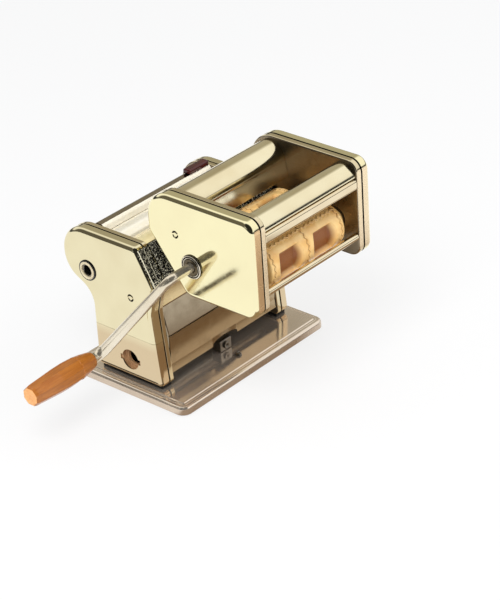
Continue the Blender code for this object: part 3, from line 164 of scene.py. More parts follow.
def plugged(rings: Array) -> Patch:
    """A stack of equal rings, the first and the last filled by one face each.

    Args:
        rings: Array of rings, points and three coordinates.

    Returns:
        The closed surface.
    """
    count, sides = rings.shape[:2]
    patch = grid(rings, True)
    patch.faces.append(np.stack([np.arange(sides)[::-1], (count - 1) * sides + np.arange(sides)]))
    return patch


def unit(vectors: Array) -> Array:
    """The vectors at length one, over the last axis."""
    return vectors / np.maximum(np.linalg.norm(vectors, axis=-1, keepdims=True), 1e-12)


def right_of(vectors: Array) -> Array:
    """Plane vectors turned a quarter clockwise: (u, v) becomes (v, -u)."""
    return np.stack([vectors[..., 1], -vectors[..., 0]], axis=-1)


def corner_arc(place: Array, before: Array, after: Array, trim: float, half: float,
               step: float) -> Path:
    """The arc that rounds one corner: centre + radius * (cos a, sin a) between both trimmed edges.

    Args:
        place: The corner.
        before: Unit vector to the corner before it.
        after: Unit vector to the corner after it.
        trim: Length that the arc takes from each edge.
        half: Half of the angle between the edges.
        step: Largest turn between points, in degrees.

    Returns:
        Points of the arc and their normals on the right of the path.
    """
    centre = place + unit(before + after) * (trim * np.tan(half)) / np.sin(half)
    start, goal = place + before * trim - centre, place + after * trim - centre
    sweep = np.arctan2(start[0] * goal[1] - start[1] * goal[0], start @ goal)
    turns = np.linspace(0, sweep, max(2, int(np.ceil(abs(np.degrees(sweep)) / step)) + 1))
    spokes = np.stack([start[0] * np.cos(turns) - start[1] * np.sin(turns),
                       start[0] * np.sin(turns) + start[1] * np.cos(turns)], axis=-1)
    return centre + spokes, unit(spokes) * np.sign(sweep)


def rounded(corners: Rows, closed: bool = True, step: float = 6.0) -> Path:
    """A path whose corners are rounded by arcs; arcs that don't fit an edge shrink in proportion.

    Args:
        corners: Rows of (u, v, radius), counter-clockwise for an outline.
        closed: Whether the path is a closed outline.
        step: Largest turn between points of an arc, in degrees.

    Returns:
        Points of the path and their normals on its right, which is outside of an outline.
    """
    table = np.asarray(corners, float)
    places, radii = table[:, :2], table[:, 2]
    before, after = unit(np.roll(places, 1, 0) - places), unit(np.roll(places, -1, 0) - places)
    half = np.arccos(np.clip((before * after).sum(1), -1, 1)) / 2
    trims = np.where(radii > 0, radii / np.tan(np.maximum(half, 1e-6)), 0)
    if not closed:
        trims[[0, -1]] = 0
    room = np.linalg.norm(np.roll(places, -1, 0) - places, axis=1)
    share = np.minimum(1, room / np.maximum(trims + np.roll(trims, -1), 1e-9))
    trims = trims * np.minimum(share, np.roll(share, 1))
    points, normals = [], []
    for i, (place, trim) in enumerate(zip(places, trims)):
        if trim > 1e-9:
            arc, outward = corner_arc(place, before[i], after[i], trim, half[i], step)
        else:
            heading = after[i] if not closed and i == 0 else -before[i]
            both = unit(after[i] - before[i]) if closed or 0 < i < len(places) - 1 else heading
            lean = 1 / max(0.3, float(right_of(both) @ right_of(heading)))
            arc, outward = place[None], right_of(both)[None] * lean
        points.append(arc)
        normals.append(outward)
    return np.concatenate(points), np.concatenate(normals)


def softened(profile: Rows, closed: bool = False, step: float = 15.0) -> Array:
    """A profile of (x, r, corner radius) rows with its corners rounded."""
    return rounded(profile, closed, step)[0]


def rectangle(low: Sequence[float], high: Sequence[float], radii: float | Sequence[float], step: float) -> Path:
    """A rectangle between two corners, with one radius or four, from the low corner counter-clockwise."""
    sides = [(low[0], low[1]), (high[0], low[1]), (high[0], high[1]), (low[0], high[1])]
    return rounded([(*side, radius) for side, radius in zip(sides, np.broadcast_to(radii, 4))], True, step)


def circle(centre: Sequence[float], radius: float, sides: int = 72) -> Path:
    """A counter-clockwise circle centre + radius * (cos a, sin a), and its outward normals.

    Args:
        centre: Its middle.
        radius: Its radius.
        sides: Its number of points.

    Returns:
        Its points and normals.
    """
    angles = TAU * np.arange(sides) / sides
    spokes = np.stack([np.cos(angles), np.sin(angles)], axis=-1)
    return centre + radius * spokes, spokes


def along_x(flat: Array, x: Array | float) -> Array:
    """Points (y, z) of a plane placed at one or more X, with X first."""
    return np.concatenate([np.broadcast_to(np.asarray(x, float)[..., None], flat.shape[:-1] + (1,)), flat], axis=-1)


def stacked(path: Array, normals: Array, profile: Array) -> Array:
    """Rings of an outline: for each row (x, inset) of a profile, path - inset * normals at that X."""
    flat = path[None] - profile[:, 1, None, None] * normals[None]
    return along_x(flat, np.repeat(profile[:, :1], len(path), axis=1))


def cap(loops: Sequence[Array]) -> Patch:
    """A flat face at one X between an outline and the holes in it, each a ring of points."""
    flat = [[Vector((float(y), float(z), 0)) for _, y, z in loop] for loop in loops]
    return Patch(np.concatenate(loops), [np.array(tessellate_polygon(flat), int)])


def spun(x: Array, radii: Array, axis: Array, angles: Array) -> Array:
    """Rings round an X line, (x, axis + r * (cos a, sin a)), with a radius for each X and angle."""
    return np.stack([np.broadcast_to(x[:, None], radii.shape), axis[0] + radii * np.cos(angles),
                     axis[1] + radii * np.sin(angles)], axis=-1)


def lathe(profile: Array, axis: Sequence[float], bored: bool = False, sides: int = 72,
          shape: Array | float = 1) -> Patch:
    """A profile turned round an X line.

    Args:
        profile: Rows of (x, radius).
        axis: The line's (y, z).
        bored: Join the last row to the first, for a piece with a hole.
        sides: Points on each ring.
        shape: Factor on the radius for each ring and side, for flutes and flats.

    Returns:
        The turned surface, its ends closed.
    """
    radii = profile[:, 1, None] * shape * np.ones(sides)
    rings = spun(profile[:, 0], radii, axis, TAU * np.arange(sides) / sides)
    return grid(rings, True, True) if bored else plugged(rings)


def turned(rows: Rows, axis: Sequence[float], bored: bool = False, sides: int = 48) -> Patch:
    """A lathe's piece from rows of (x, r, corner radius)."""
    return lathe(softened(rows, bored), axis, bored, sides)


def prism(path: Array, normals: Array | None, low: float, high: float, bevel: float = 0.0) -> Patch:
    """An outline (y, z) carried along X, its end edges rounded by a quarter turn.

    Args:
        path: The outline, counter-clockwise.
        normals: Its outward normals, needed with a bevel.
        low: X of the near end.
        high: X of the far end.
        bevel: Radius of the end edges.

    Returns:
        The closed solid's surface.
    """
    profile = np.array([[low, 0.0], [high, 0.0]])
    if bevel > 0:
        a = np.linspace(0, np.pi / 2, 4)
        near = np.stack([low + bevel * (1 - np.sin(a)), bevel * (1 - np.cos(a))], axis=-1)[::-1]
        far = np.stack([low + high - near[::-1, 0], near[::-1, 1]], axis=-1)
        profile = np.concatenate([near, [[low + bevel + 0.01, 0], [high - bevel - 0.01, 0]], far])
    rings = stacked(path, np.zeros_like(path) if normals is None else normals, profile)
    return joined([grid(rings, True), cap([rings[0]]), cap([rings[-1]])])


def sheet(outer: Array, inner: Array) -> Patch:
    """A shell between two equal grids of points, closed along its four borders by plain strips."""
    borders = ((outer[0], inner[0]), (outer[-1], inner[-1]), (outer[:, 0], inner[:, 0]), (outer[:, -1], inner[:, -1]))
    return joined([grid(outer), grid(inner)] + [grid(np.stack(pair)) for pair in borders])


def hemmed_band(path: Array, normals: Array, near: float, wall: float, half: float) -> Patch:
    """A bent sheet with rounded long edges: its section is a strip whose ends are half rounds.

    Args:
        path: Points (y, z) along the sheet.
        normals: Normals on the right of the path.
        near: Depth of the outer face under the path.
        wall: Sheet thickness.
        half: Half of the length along X.

    Returns:
        The closed strip.
    """
    outer, inner = path - near * normals, path - (near + wall) * normals
    turn = np.linspace(0, np.pi, 7)[1:-1, None]
    ends = []
    for at, sign in ((-1, 1), (0, -1)):
        middle, arm = (outer[at] + inner[at]) / 2, (outer[at] - inner[at]) / 2
        ahead = np.array([-arm[1], arm[0]]) * 0.6
        ends.append(middle + sign * arm * np.cos(turn) + sign * ahead * np.sin(turn))
    return prism(np.concatenate([outer, ends[0], inner[::-1], ends[1]]), None, -half, half)


def tube(route: Array, radii: Array, across: Array, sides: int) -> Patch:
    """A round rod with flat ends: route + r * (cos a * across + sin a * (across x heading)).

    Args:
        route: Points along the rod.
        radii: Radius at each point.
        across: Unit vector square to the route, or one for each point.
        sides: Points on each ring.

    Returns:
        The rod.
    """
    across = np.broadcast_to(across, route.shape)
    third = unit(np.cross(across, unit(np.gradient(route, axis=0))))
    angles = (TAU * np.arange(sides) / sides)[None, :, None]
    return plugged(route[:, None] + radii[:, None, None] * (
        np.cos(angles) * across[:, None] + np.sin(angles) * third[:, None]))


def smooth_max(a: Array, b: Array, width: float) -> Array:
    """The larger of two arrays, rounded where they cross: width * log(e^(a / width) + e^(b / width))."""
    return width * np.logaddexp(a / width, b / width)


def dense(stops: Sequence[tuple[float, float]], end: float) -> Array:
    """Numbers from (start, step) to (start, step) in rising order and to the end, in steps near each one's own.

    Args:
        stops: Pairs of (start, step).
        end: Where the last stretch ends.

    Returns:
        The numbers, with both ends.
    """
    starts = [start for start, _ in stops] + [end]
    runs = [np.linspace(low, high, max(1, round((high - low) / step)), endpoint=False)
            for (low, step), high in zip(stops, starts[1:])]
    return np.concatenate(runs + [[end]])


# Finishes -----------------------------------------------------------------------------------------


def srgb(code: str) -> tuple[float, ...]:
    """Linear colour of a six-digit web code: ((c + 0.055) / 1.055) ** 2.4 over the knee.

    Args:
        code: The web code.

    Returns:
        Red, green and blue from 0 to 1.
    """
    parts = np.array([int(code[i:i + 2], 16) for i in (0, 2, 4)]) / 255
    linear = np.where(parts > 0.04045, ((parts + 0.055) / 1.055) ** 2.4, parts / 12.92)
    return tuple(float(part) for part in linear)


class Recipe:
    """A node tree of a material or the world, with short ways to add and join its nodes."""

    def __init__(self, owner: bpy.types.ID, shader: str = "Principled BSDF", place: str = "Object") -> None:
        """Take up the owner's tree, its shader and the coordinates that its patterns read.

        Args:
            owner: A material or a world.
            shader: Name of its shader node.
            place: Name of the coordinates.
        """
        owner.use_nodes = True
        self.owner, self.tree = owner, owner.node_tree
        self.shader = self.tree.nodes[shader]
        self.place = self.add("TexCoord").outputs[place]

    def put(self, target: Socket, value: object) -> None:
        """Link a socket to an input or set its value; a web code stands for its linear colour.

        Args:
            target: The input.
            value: A socket, a number, a vector, a colour or a web code.
        """
        if isinstance(value, Socket):
            self.tree.links.new(value, target)
        else:
            value = srgb(value) if isinstance(value, str) else value
            target.default_value = (*value, 1.0) if target.type == "RGBA" else value

    def add(self, kind: str, inputs: dict | None = None, **properties) -> bpy.types.Node:
        """Add a node.

        Args:
            kind: The node's type, without its prefix.
            inputs: Values or sockets for its inputs, by name or number.
            properties: Values for its own settings.

        Returns:
            The node.
        """
        node = self.tree.nodes.new(f"ShaderNode{kind}")
        for name, value in properties.items():
            setattr(node, name, value)
        for key, value in (inputs or {}).items():
            self.put(node.inputs[key], value)
        return node

    def math(self, operation: str, *values: object) -> Socket:
        """Arithmetic on values or sockets."""
        return self.add("Math", dict(enumerate(values)), operation=operation).outputs[0]

    def noise(self, sizes: float | Sequence[float], detail: float = 3, roughness: float = 0.5) -> Socket:
        """Noise whose grain measures so many millimetres along each axis.

        Args:
            sizes: One grain size, or one for each axis.
            detail: Octaves of the noise.
            roughness: Share of the finer octaves.

        Returns:
            The noise, mostly from 0.3 to 0.7.
        """
        scale = [1 / (size * MM) for size in np.broadcast_to(sizes, 3)]
        place = self.add("Mapping", {"Vector": self.place, "Scale": scale}).outputs[0]
        return self.add("TexNoise", {"Vector": place, "Scale": 1.0, "Detail": detail,
                                     "Roughness": roughness}).outputs["Fac"]

    def spread(self, value: Socket, low: float, high: float, to_low: float = 0, to_high: float = 1) -> Socket:
        """Map a range of a value onto another, clamped."""
        return self.add("MapRange", {"Value": value, "From Min": low, "From Max": high, "To Min": to_low,
                                     "To Max": to_high}).outputs[0]

    def axis(self, name: str) -> Socket:
        """One coordinate, in metres where it is an Object coordinate."""
        return self.add("SeparateXYZ", {"Vector": self.place}).outputs[name]

    def toward(self, direction: Sequence[float]) -> Socket:
        """How far the place lies in a direction."""
        return self.add("VectorMath", {0: self.place, 1: direction}, operation="DOT_PRODUCT").outputs["Value"]

    def blend(self, share: Socket, first: object, second: object) -> Socket:
        """Mix two colours, given as codes, tuples or sockets."""
        return self.add("Mix", {0: share, 6: first, 7: second}, data_type="RGBA").outputs[2]

    def over(self, first: object, value: Socket, low: float, high: float, second: object, share: float = 1) -> Socket:
        """Mix a share of a second colour over the first as a value rises from low to high."""
        return self.blend(self.spread(value, low, high, 0, share), first, second)

    def mixed(self, share: Socket, first: Socket, second: Socket) -> Socket:
        """Mix two shaders."""
        return self.add("MixShader", {0: share, 1: first, 2: second}).outputs[0]

    def bump(self, height: Socket, depth: float, *below: Socket) -> Socket:
        """Relief of so many millimetres, over another one if it is given."""
        inputs = {"Height": height, "Distance": depth * MM, "Strength": 1.0}
        return self.add("Bump", inputs | {"Normal": relief for relief in below}).outputs[0]

    def feed(self, **values: object) -> None:
        """Set or link the shader's inputs, their names written with underscores."""
        for key, value in values.items():
            self.put(self.shader.inputs[key.replace("_", " ")], value)


@dataclass(frozen=True)
class Finish:
    """A surface by name, with two web codes; each kind of finish mixes its own nodes."""

    name: str
    tint: str
    shade: str

    def mix(self, made: Recipe) -> dict[str, object]:
        """Values and sockets for the shader's inputs."""
        raise NotImplementedError

    def material(self) -> bpy.types.Material:
        """A new material of this finish.

        Returns:
            The material.
        """
        made = Recipe(bpy.data.materials.new(self.name))
        made.feed(**self.mix(made))
        return made.owner


@dataclass(frozen=True)
class MirrorChrome(Finish):
    """Polished plating: a tinted mirror with faint haze, ripples of the pressed sheet and hair scratches.

    Under low_height, where it is given, a thin line and another tint that grows over 9 mm downwards: a painted
    reflection of a horizon line in the chrome.
    """

    roughness: float
    haze: float = 0.05
    ripple: float = 0.012
    metallic: float = 1.0
    low_tint: str = ""
    low_height: float = 0.0
    line_tint: str = "9c8b69"

    def mix(self, made: Recipe) -> dict[str, object]:
        """Tint and roughness follow slow noise; long thin noise cuts the scratches.

        Args:
            made: The node tree to mix them in.

        Returns:
            Values and sockets for the shader's inputs, by name.
        """
        cloud, wear = made.noise(38, 2), made.noise(9, 5, 0.6)
        scratch = made.spread(made.noise((0.25, 14, 14), 2), 0.62, 0.72)
        colour = made.over(self.tint, cloud, 0.35, 0.75, self.shade, 0.55)
        # Painted reflection under low_height: a tint that grows downwards and a faint thin line
        if self.low_tint:
            height, top = made.axis("Z"), self.low_height * MM
            lower = made.spread(height, (self.low_height - 9) * MM, top, 1, 0.35)
            below = made.spread(height, top, (self.low_height + 0.2) * MM, 1, 0)
            colour = made.blend(made.math("MULTIPLY", lower, below), colour, self.low_tint)
            near = made.math("COMPARE", height, top, 0.35 * MM)
            faint = made.math("MULTIPLY", near, made.spread(wear, 0.3, 0.6, 0.15, 0.7))
            colour = made.blend(faint, colour, self.line_tint)
        rough = made.spread(wear, 0.4, 0.8, self.roughness, self.roughness + self.haze)
        rough = made.math("ADD", rough, made.spread(scratch, 0, 1, 0, 0.05))
        relief = made.bump(wear, self.ripple / 12, made.bump(cloud, self.ripple))
        return {"Base_Color": colour, "Metallic": self.metallic, "Roughness": rough, "Normal": relief}


@dataclass(frozen=True)
class BrushedSteel(Finish):
    """Sheet or machined steel with fine lines along one axis."""

    grain: Triple = (0.15, 18.0, 0.15)
    roughness: float = 0.28

    def mix(self, made: Recipe) -> dict[str, object]:
        """Stretched noise drives colour, roughness and a very shallow relief.

        Args:
            made: The node tree to mix them in.

        Returns:
            Values and sockets for the shader's inputs, by name.
        """
        lines = made.noise(self.grain, 4, 0.7)
        colour = made.over(self.tint, lines, 0.3, 0.7, self.shade)
        colour = made.over(colour, made.noise(14), 0.45, 0.8, self.shade, 0.4)
        rough = made.spread(lines, 0.25, 0.75, self.roughness - 0.06, self.roughness + 0.14)
        return {"Base_Color": colour, "Metallic": 1.0, "Roughness": rough, "Normal": made.bump(lines, 0.012)}


@dataclass(frozen=True)
class GroundChrome(Finish):
    """Turned and ground rollers: fine rings round the axis and a soft polish."""

    roughness: float
    pitch: float = 0.22
    metallic: float = 1.0

    def mix(self, made: Recipe) -> dict[str, object]:
        """Noise that changes only along X makes the tool rings; slow noise makes the wear.

        Args:
            made: The node tree to mix them in.

        Returns:
            Values and sockets for the shader's inputs, by name.
        """
        rings = made.noise((self.pitch, 60, 60), 3, 0.65)
        colour = made.over(self.tint, made.noise((11, 6, 6), 4), 0.4, 0.75, self.shade, 0.6)
        rough = made.spread(rings, 0.3, 0.75, self.roughness, self.roughness + 0.08)
        return {"Base_Color": colour, "Metallic": self.metallic, "Roughness": rough, "Normal": made.bump(rings, 0.003)}


@dataclass(frozen=True)
class FormingPlastic(Finish):
    """Cream moulded rollers, warmer and darker down in their pockets and beside their ridges, as painted shade and
    painted reflection.
    """

    deep: str
    line: str

    def mix(self, made: Recipe) -> dict[str, object]:
        """The pocket and ridge attributes place the painted shade and reflection, a cloud varies the colour; fine grain
        dulls and dimples it.

        Args:
            made: The node tree to mix them in.

        Returns:
            Values and sockets for the shader's inputs, by name.
        """
        deep = made.add("Attribute", attribute_name="pocket_depth").outputs["Fac"]
        edge = made.add("Attribute", attribute_name="ridge_edge").outputs["Fac"]
        grain = made.noise(0.7, 2)
        colour = made.over(self.tint, made.noise(12, 4), 0.35, 0.75, self.shade)
        colour = made.over(colour, deep, 0.1, 0.8, self.deep, 0.92)
        colour = made.over(colour, edge, 0.1, 0.8, self.line, 0.75)
        return {"Base_Color": colour, "Roughness": made.spread(grain, 0.3, 0.7, 0.26, 0.4),
                "Normal": made.bump(grain, 0.02), "Coat_Weight": 0.15, "Coat_Roughness": 0.15}


@dataclass(frozen=True)
class LacqueredWood(Finish):
    """Turned beech under orange lacquer, its grain along X."""

    dark: str

    def mix(self, made: Recipe) -> dict[str, object]:
        """Long noise drawn out along X gives grain lines; short dark dashes are the pores.

        Args:
            made: The node tree to mix them in.

        Returns:
            Values and sockets for the shader's inputs, by name.
        """
        grain = made.noise((55, 2.2, 2.2), 5, 0.62)
        pores = made.spread(made.noise((7, 0.35, 0.35), 2), 0.64, 0.72)
        colour = made.over(self.tint, grain, 0.38, 0.62, self.shade)
        colour = made.over(colour, made.noise((30, 10, 10), 2), 0.45, 0.75, self.dark, 0.3)
        colour = made.over(colour, pores, 0, 1, self.dark, 0.4)
        return {"Base_Color": colour, "Roughness": made.spread(grain, 0.3, 0.7, 0.28, 0.42),
                "Normal": made.bump(pores, -0.02, made.bump(grain, 0.03)), "Coat_Weight": 0.25, "Coat_Roughness": 0.08}


@dataclass(frozen=True)
class MouldedPlastic(Finish):
    """Moulded plastic with a fine spark-eroded grain and rubbed patches."""

    roughness: float
    grain: float = 0.6
    relief: float = 0.02
    coat: float = 0.0

    def mix(self, made: Recipe) -> dict[str, object]:
        """Fine noise makes the grain, slow noise the rubbed patches.

        Args:
            made: The node tree to mix them in.

        Returns:
            Values and sockets for the shader's inputs, by name.
        """
        rubbed = made.noise(8, 4)
        return {"Base_Color": made.over(self.tint, rubbed, 0.4, 0.75, self.shade),
                "Roughness": made.spread(rubbed, 0.35, 0.7, self.roughness - 0.05, self.roughness + 0.12),
                "Normal": made.bump(made.noise(self.grain), self.relief), "Coat_Weight": self.coat,
                "Coat_Roughness": 0.08}


@dataclass(frozen=True)
class SpeckledRail(Finish):
    """Dark textured rail with light flecks, and painted highlight lines at some distances from the machine's middle."""

    # Distances from the middle of painted highlight lines
    lines: tuple[float, ...] = ()
    line_half: float = 0.4

    def mix(self, made: Recipe) -> dict[str, object]:
        """Noise drawn out along the rail, cut high, scatters the flecks; the same noise is the relief.

        Args:
            made: The node tree to mix them in.

        Returns:
            Values and sockets for the shader's inputs, by name.
        """
        crumbs, fine = made.noise((0.8, 0.9, 1.2), 2, 0.7), made.noise(0.4, 2)
        colour = made.over(self.tint, crumbs, 0.575, 0.61, self.shade)
        aside = made.math("ABSOLUTE", made.math("ADD", made.axis("X"), float(MIDDLE[0]) * MM))
        for line in self.lines:
            colour = made.blend(made.math("COMPARE", aside, line * MM, self.line_half * MM), colour, self.shade)
        return {"Base_Color": colour, "Roughness": made.spread(fine, 0.3, 0.7, 0.5, 0.7),
                "Normal": made.bump(fine, 0.03, made.bump(crumbs, 0.12)), "Specular_IOR_Level": 0.06}


# The cheeks' tint under 58 mm and the thin line there are a painted reflection of the base's edge
CHEEK_CHROME = MirrorChrome("cheek_chrome_finish", "eee4be", "e2d5ae", 0.09, low_tint="dbc6a2", low_height=58.0)
UNIT_CHROME = MirrorChrome("unit_chrome_finish", "fdf5c8", "f6ebc0", 0.07, 0.04)
# The ravioli unit's front flanges: brown on the left is a painted reflection, dull cream on the right and on the plates
# is painted light
UNIT_FLANGE_PAINTED_REFLECTION = MirrorChrome("unit_flange_finish", "ecc898", "dab888", 0.22, 0.1, metallic=0.7)
UNIT_EDGE_PAINTED_LIGHT = MirrorChrome("unit_edge_finish", "f8e4c0", "ead4ac", 0.25, 0.1, metallic=0.5)
RIM_CHROME = MirrorChrome("rim_chrome_finish", "e9dcba", "c9b78f", 0.08)
# The panel's brown tint is a painted reflection and its near-white tint above upper_level is painted light: one chrome
# sheet, two tints
PANEL_PAINTED_REFLECTION = MirrorChrome("panel_chrome_finish", "b5a78f", "9c8c70", 0.16, 0.12, low_tint="b4a080", low_height=60.0)
UPPER_PANEL_PAINTED_LIGHT = MirrorChrome("upper_panel_finish", "fbf1c8", "efe2b8", 0.12, 0.06)
# The rear cover's inside and its fold get near-white, dull tints: painted light over faces that lie in shade
INNER_PAINTED_LIGHT = MirrorChrome("inner_satin_finish", "fff4da", "e9d9b4", 0.45, 0.1, metallic=0.15)
LIP_PAINTED_LIGHT = MirrorChrome("lip_satin_finish", "fff8e6", "f2e8cc", 0.4, 0.1, metallic=0.1)
BASE_CHROME = MirrorChrome("base_chrome_finish", "f0e2d2", "dccbb8", 0.11, 0.08, metallic=0.82)
# The base's rim below its step gets a darker brown tint: a painted reflection
BASE_RIM_PAINTED_REFLECTION = MirrorChrome("base_rim_finish", "d8c6b2", "c0ae9a", 0.2, 0.1, metallic=0.75)
BAR_CHROME = MirrorChrome("bar_chrome_finish", "f4e6c6", "dcc29a", 0.06)
GUIDE_CHROME = MirrorChrome("guide_chrome_finish", "f6ecca", "e0cda2", 0.1, 0.06)
CRANK_CHROME = MirrorChrome("crank_chrome_finish", "f5ecd8", "dccdb0", 0.2, 0.06, 0.006, 0.88)
REAR_CHROME = MirrorChrome("rear_chrome_finish", "a89c88", "857a69", 0.14, 0.08)
PLATE_STEEL = BrushedSteel("plate_steel_finish", "b7aa94", "8d7f6a")
MACHINED = BrushedSteel("machined_steel_finish", "a8a29a", "6f6a62", (0.2, 5.0, 5.0), 0.3)
ROD_STEEL = BrushedSteel("rod_steel_finish", "cfc7b8", "968c7c", (12.0, 0.3, 0.3), 0.22)
BLADE_STEEL = BrushedSteel("blade_steel_finish", "c4bcae", "8a8071", (20.0, 0.2, 0.2), 0.25)
# Near-black in the seams, grooves, the crank ring's bore and the rivet seats' crescents is painted shade
SEAM_SHADE = BrushedSteel("seam_steel_finish", "1b1914", "0d0c09", (0.5, 4.0, 4.0), 0.5)
DARK_STEEL = BrushedSteel("dark_steel_finish", "8d8068", "4b4337", (0.3, 3.0, 3.0), 0.36)
# Both sheet rollers are one ground steel; the front one's yellower tint is a painted reflection
REAR_ROLLER = GroundChrome("rear_roller_finish", "fffaea", "f8eed0", 0.15, metallic=0.4)
FRONT_ROLLER = GroundChrome("front_roller_finish", "fff0bc", "f0dc9c", 0.15, 0.9, 0.3)
FORMING = FormingPlastic("forming_cream", "ffd892", "efb664", "85400f", "6e3414")
WOOD = LacqueredWood("lacquered_wood", "be7429", "a9601a", "8a4a12")
# The handle's end face gets lighter colours than its sides: a painted highlight
END_FACE_HIGHLIGHT = LacqueredWood("end_grain", "ffbe78", "f2a860", "dc8f48")
RAIL = SpeckledRail("speckled_rail", "0b0a08", "f4eed2")
# The cheeks' chrome flank beside the rails is painted dark with two bright lines: a painted reflection with painted
# highlights
FLANK_PAINTED_REFLECTION = SpeckledRail("speckled_flank", "0b0a08", "f4eed2", (86.3, 79.3))
RUBBER = MouldedPlastic("rubber_finish", "1c1b19", "2c2a27", 0.62, 0.35, 0.04)
WHITE_PLASTIC = MouldedPlastic("bearing_plastic_finish", "e6d8b6", "cdbd97", 0.32)
# Bright cream on the rail's beads is a painted highlight
BEAD_HIGHLIGHT = MouldedPlastic("rail_bead_finish", "fff3d2", "e8d8ae", 0.4)
SOCKET_BROWN = MouldedPlastic("motor_ring_finish", "c49a70", "8f6a48", 0.42)
BLACK_PLASTIC = MouldedPlastic("knob_black_finish", "171614", "262422", 0.3)
RED_PLASTIC = MouldedPlastic("clip_red_finish", "4a0e0b", "300706", 0.2, 0.9, 0.008, 0.15)


# Making and dressing pieces -----------------------------------------------------------------------


def placed(name: str, data: bpy.types.ID) -> bpy.types.Object:
    """A new object of the scene that shows some data.

    Args:
        name: The object's name.
        data: Its mesh, light or camera.

    Returns:
        The object.
    """
    thing = bpy.data.objects.new(name, data)
    bpy.context.scene.collection.objects.link(thing)
    return thing


def bench_places(items: bpy.types.bpy_prop_collection, name: str) -> Array:
    """A place that each of a mesh's items has, moved from the frame's metres to bench millimetres.

    Args:
        items: Vertices or polygons.
        name: The property that holds the place.

    Returns:
        Rows of (x, y, z).
    """
    flat = np.empty(len(items) * 3, np.float32)
    items.foreach_get(name, flat)
    return flat.reshape(-1, 3) / MM + MIDDLE


@dataclass
class Bench:
    """Turns patches into finished pieces of the machine and keeps count of them."""

    nodes: dict[str, bpy.types.Object]
    slots: dict[str, str]
    materials: dict[str, bpy.types.Material] = field(default_factory=dict)
    made: list[str] = field(default_factory=list)

    def paint(self, finish: Finish) -> bpy.types.Material:
        """The finish's material, made once.

        Args:
            finish: The finish.

        Returns:
            The material that stands for it.
        """
        if finish.name not in self.materials:
            self.materials[finish.name] = finish.material()
        return self.materials[finish.name]

    def mesh(self, name: str, patch: Patch, crease: float) -> bpy.types.Mesh:
        """Write a patch as a closed mesh in the frame's metres.

        Args:
            name: The mesh's name.
            patch: The surface in bench millimetres.
            crease: Angle in degrees over which an edge stays sharp.

        Returns:
            The mesh, its doubles merged and its faces outwards.
        """
        mesh = bpy.data.meshes.new(name)
        corners = np.concatenate([block.ravel() for block in patch.faces]).astype(np.int32)
        sizes = np.concatenate([np.full(len(block), block.shape[1]) for block in patch.faces])
        mesh.vertices.add(len(patch.points))
        mesh.vertices.foreach_set("co", ((patch.points - MIDDLE) * MM).astype(np.float32).ravel())
        mesh.loops.add(len(corners))
        mesh.loops.foreach_set("vertex_index", corners)
        mesh.polygons.add(len(sizes))
        mesh.polygons.foreach_set("loop_start", (np.cumsum(sizes) - sizes).astype(np.int32))
        mesh.update(calc_edges=True)
        mesh.validate()
        work = bmesh.new()
        work.from_mesh(mesh)
        bmesh.ops.remove_doubles(work, verts=work.verts, dist=MERGE)
        bmesh.ops.dissolve_degenerate(work, edges=work.edges, dist=MERGE)
        bmesh.ops.recalc_face_normals(work, faces=work.faces)
        open_edges = sum(not edge.is_manifold for edge in work.edges)
        work.to_mesh(mesh)
        work.free()
        if open_edges:
            log.warning("%s has %d open or shared edges", name, open_edges)
        mesh.shade_smooth()
        mesh.set_sharp_from_angle(angle=np.radians(crease))
        return mesh

    def piece(self, node: str, patch: Patch, finish: Finish, crease: float = 32.0, *also: tuple[Finish, Rule],
              flat: bool = True) -> bpy.types.Object:
        """Make one piece that stands for a CAD node and rides on the node's body.

        Args:
            node: The CAD node that it replaces.
            patch: Its surface.
            finish: Its main finish.
            crease: Angle in degrees over which an edge stays sharp.
            also: More finishes, each with a rule that picks its faces.
            flat: Whether large faces keep their normals up to their rounded edges.

        Returns:
            The piece.
        """
        mesh = self.mesh(f"fine_{node}", patch, crease)
        thing = placed(f"fine_{node}", mesh)
        mesh.materials.append(self.paint(finish))
        if also:
            places = bench_places(mesh.polygons, "center")
            index = np.zeros(len(places), np.int32)
            for number, (other, rule) in enumerate(also, 1):
                mesh.materials.append(self.paint(other))
                index[rule(places)] = number
            mesh.polygons.foreach_set("material_index", index)
        if flat:
            thing.modifiers.new("true_flats", "WEIGHTED_NORMAL").keep_sharp = True
        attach(thing, self.nodes[node]["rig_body"])
        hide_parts(node)
        self.made.append(node)
        log.info("%-24s %7d faces", thing.name, len(mesh.polygons))
        return thing

    def dress(self, finish: Finish, *names: str) -> None:
        """Give all slots of CAD nodes whose shape is right a finish.

        Args:
            finish: The finish.
            names: The nodes.
        """
        for name in names:
            for holder in self.nodes[name].material_slots:
                holder.material = self.paint(finish)
            self.made.append(name)
            log.info("%-24s kept, %s", name, finish.name)


# Pressed cheeks, covers and the base --------------------------------------------------------------


@dataclass(frozen=True)
class Hole:
    """An opening in a flat face, its edge rolled inwards over a lip."""

    path: Array
    normals: Array
    lip: float = 0.5

    def at(self, face: float) -> Array:
        """The ring that the hole leaves in the face."""
        return along_x(self.path + self.lip * self.normals, face)

    def wall(self, face: float, back: float) -> Patch:
        """The lip, path + lip * (1 - sin a) * normal at face + lip * (1 - cos a), and the wall behind it.

        Args:
            face: X of the face.
            back: X of the wall's other end.

        Returns:
            The inside of the hole.
        """
        a = np.linspace(0, np.pi / 2, 5)
        way = np.sign(back - face)
        rows = np.stack([face + way * self.lip * (1 - np.cos(a)), -self.lip * (1 - np.sin(a))], axis=-1)
        return grid(stacked(self.path, self.normals, np.concatenate([rows, [[back, 0.0]]])), True)


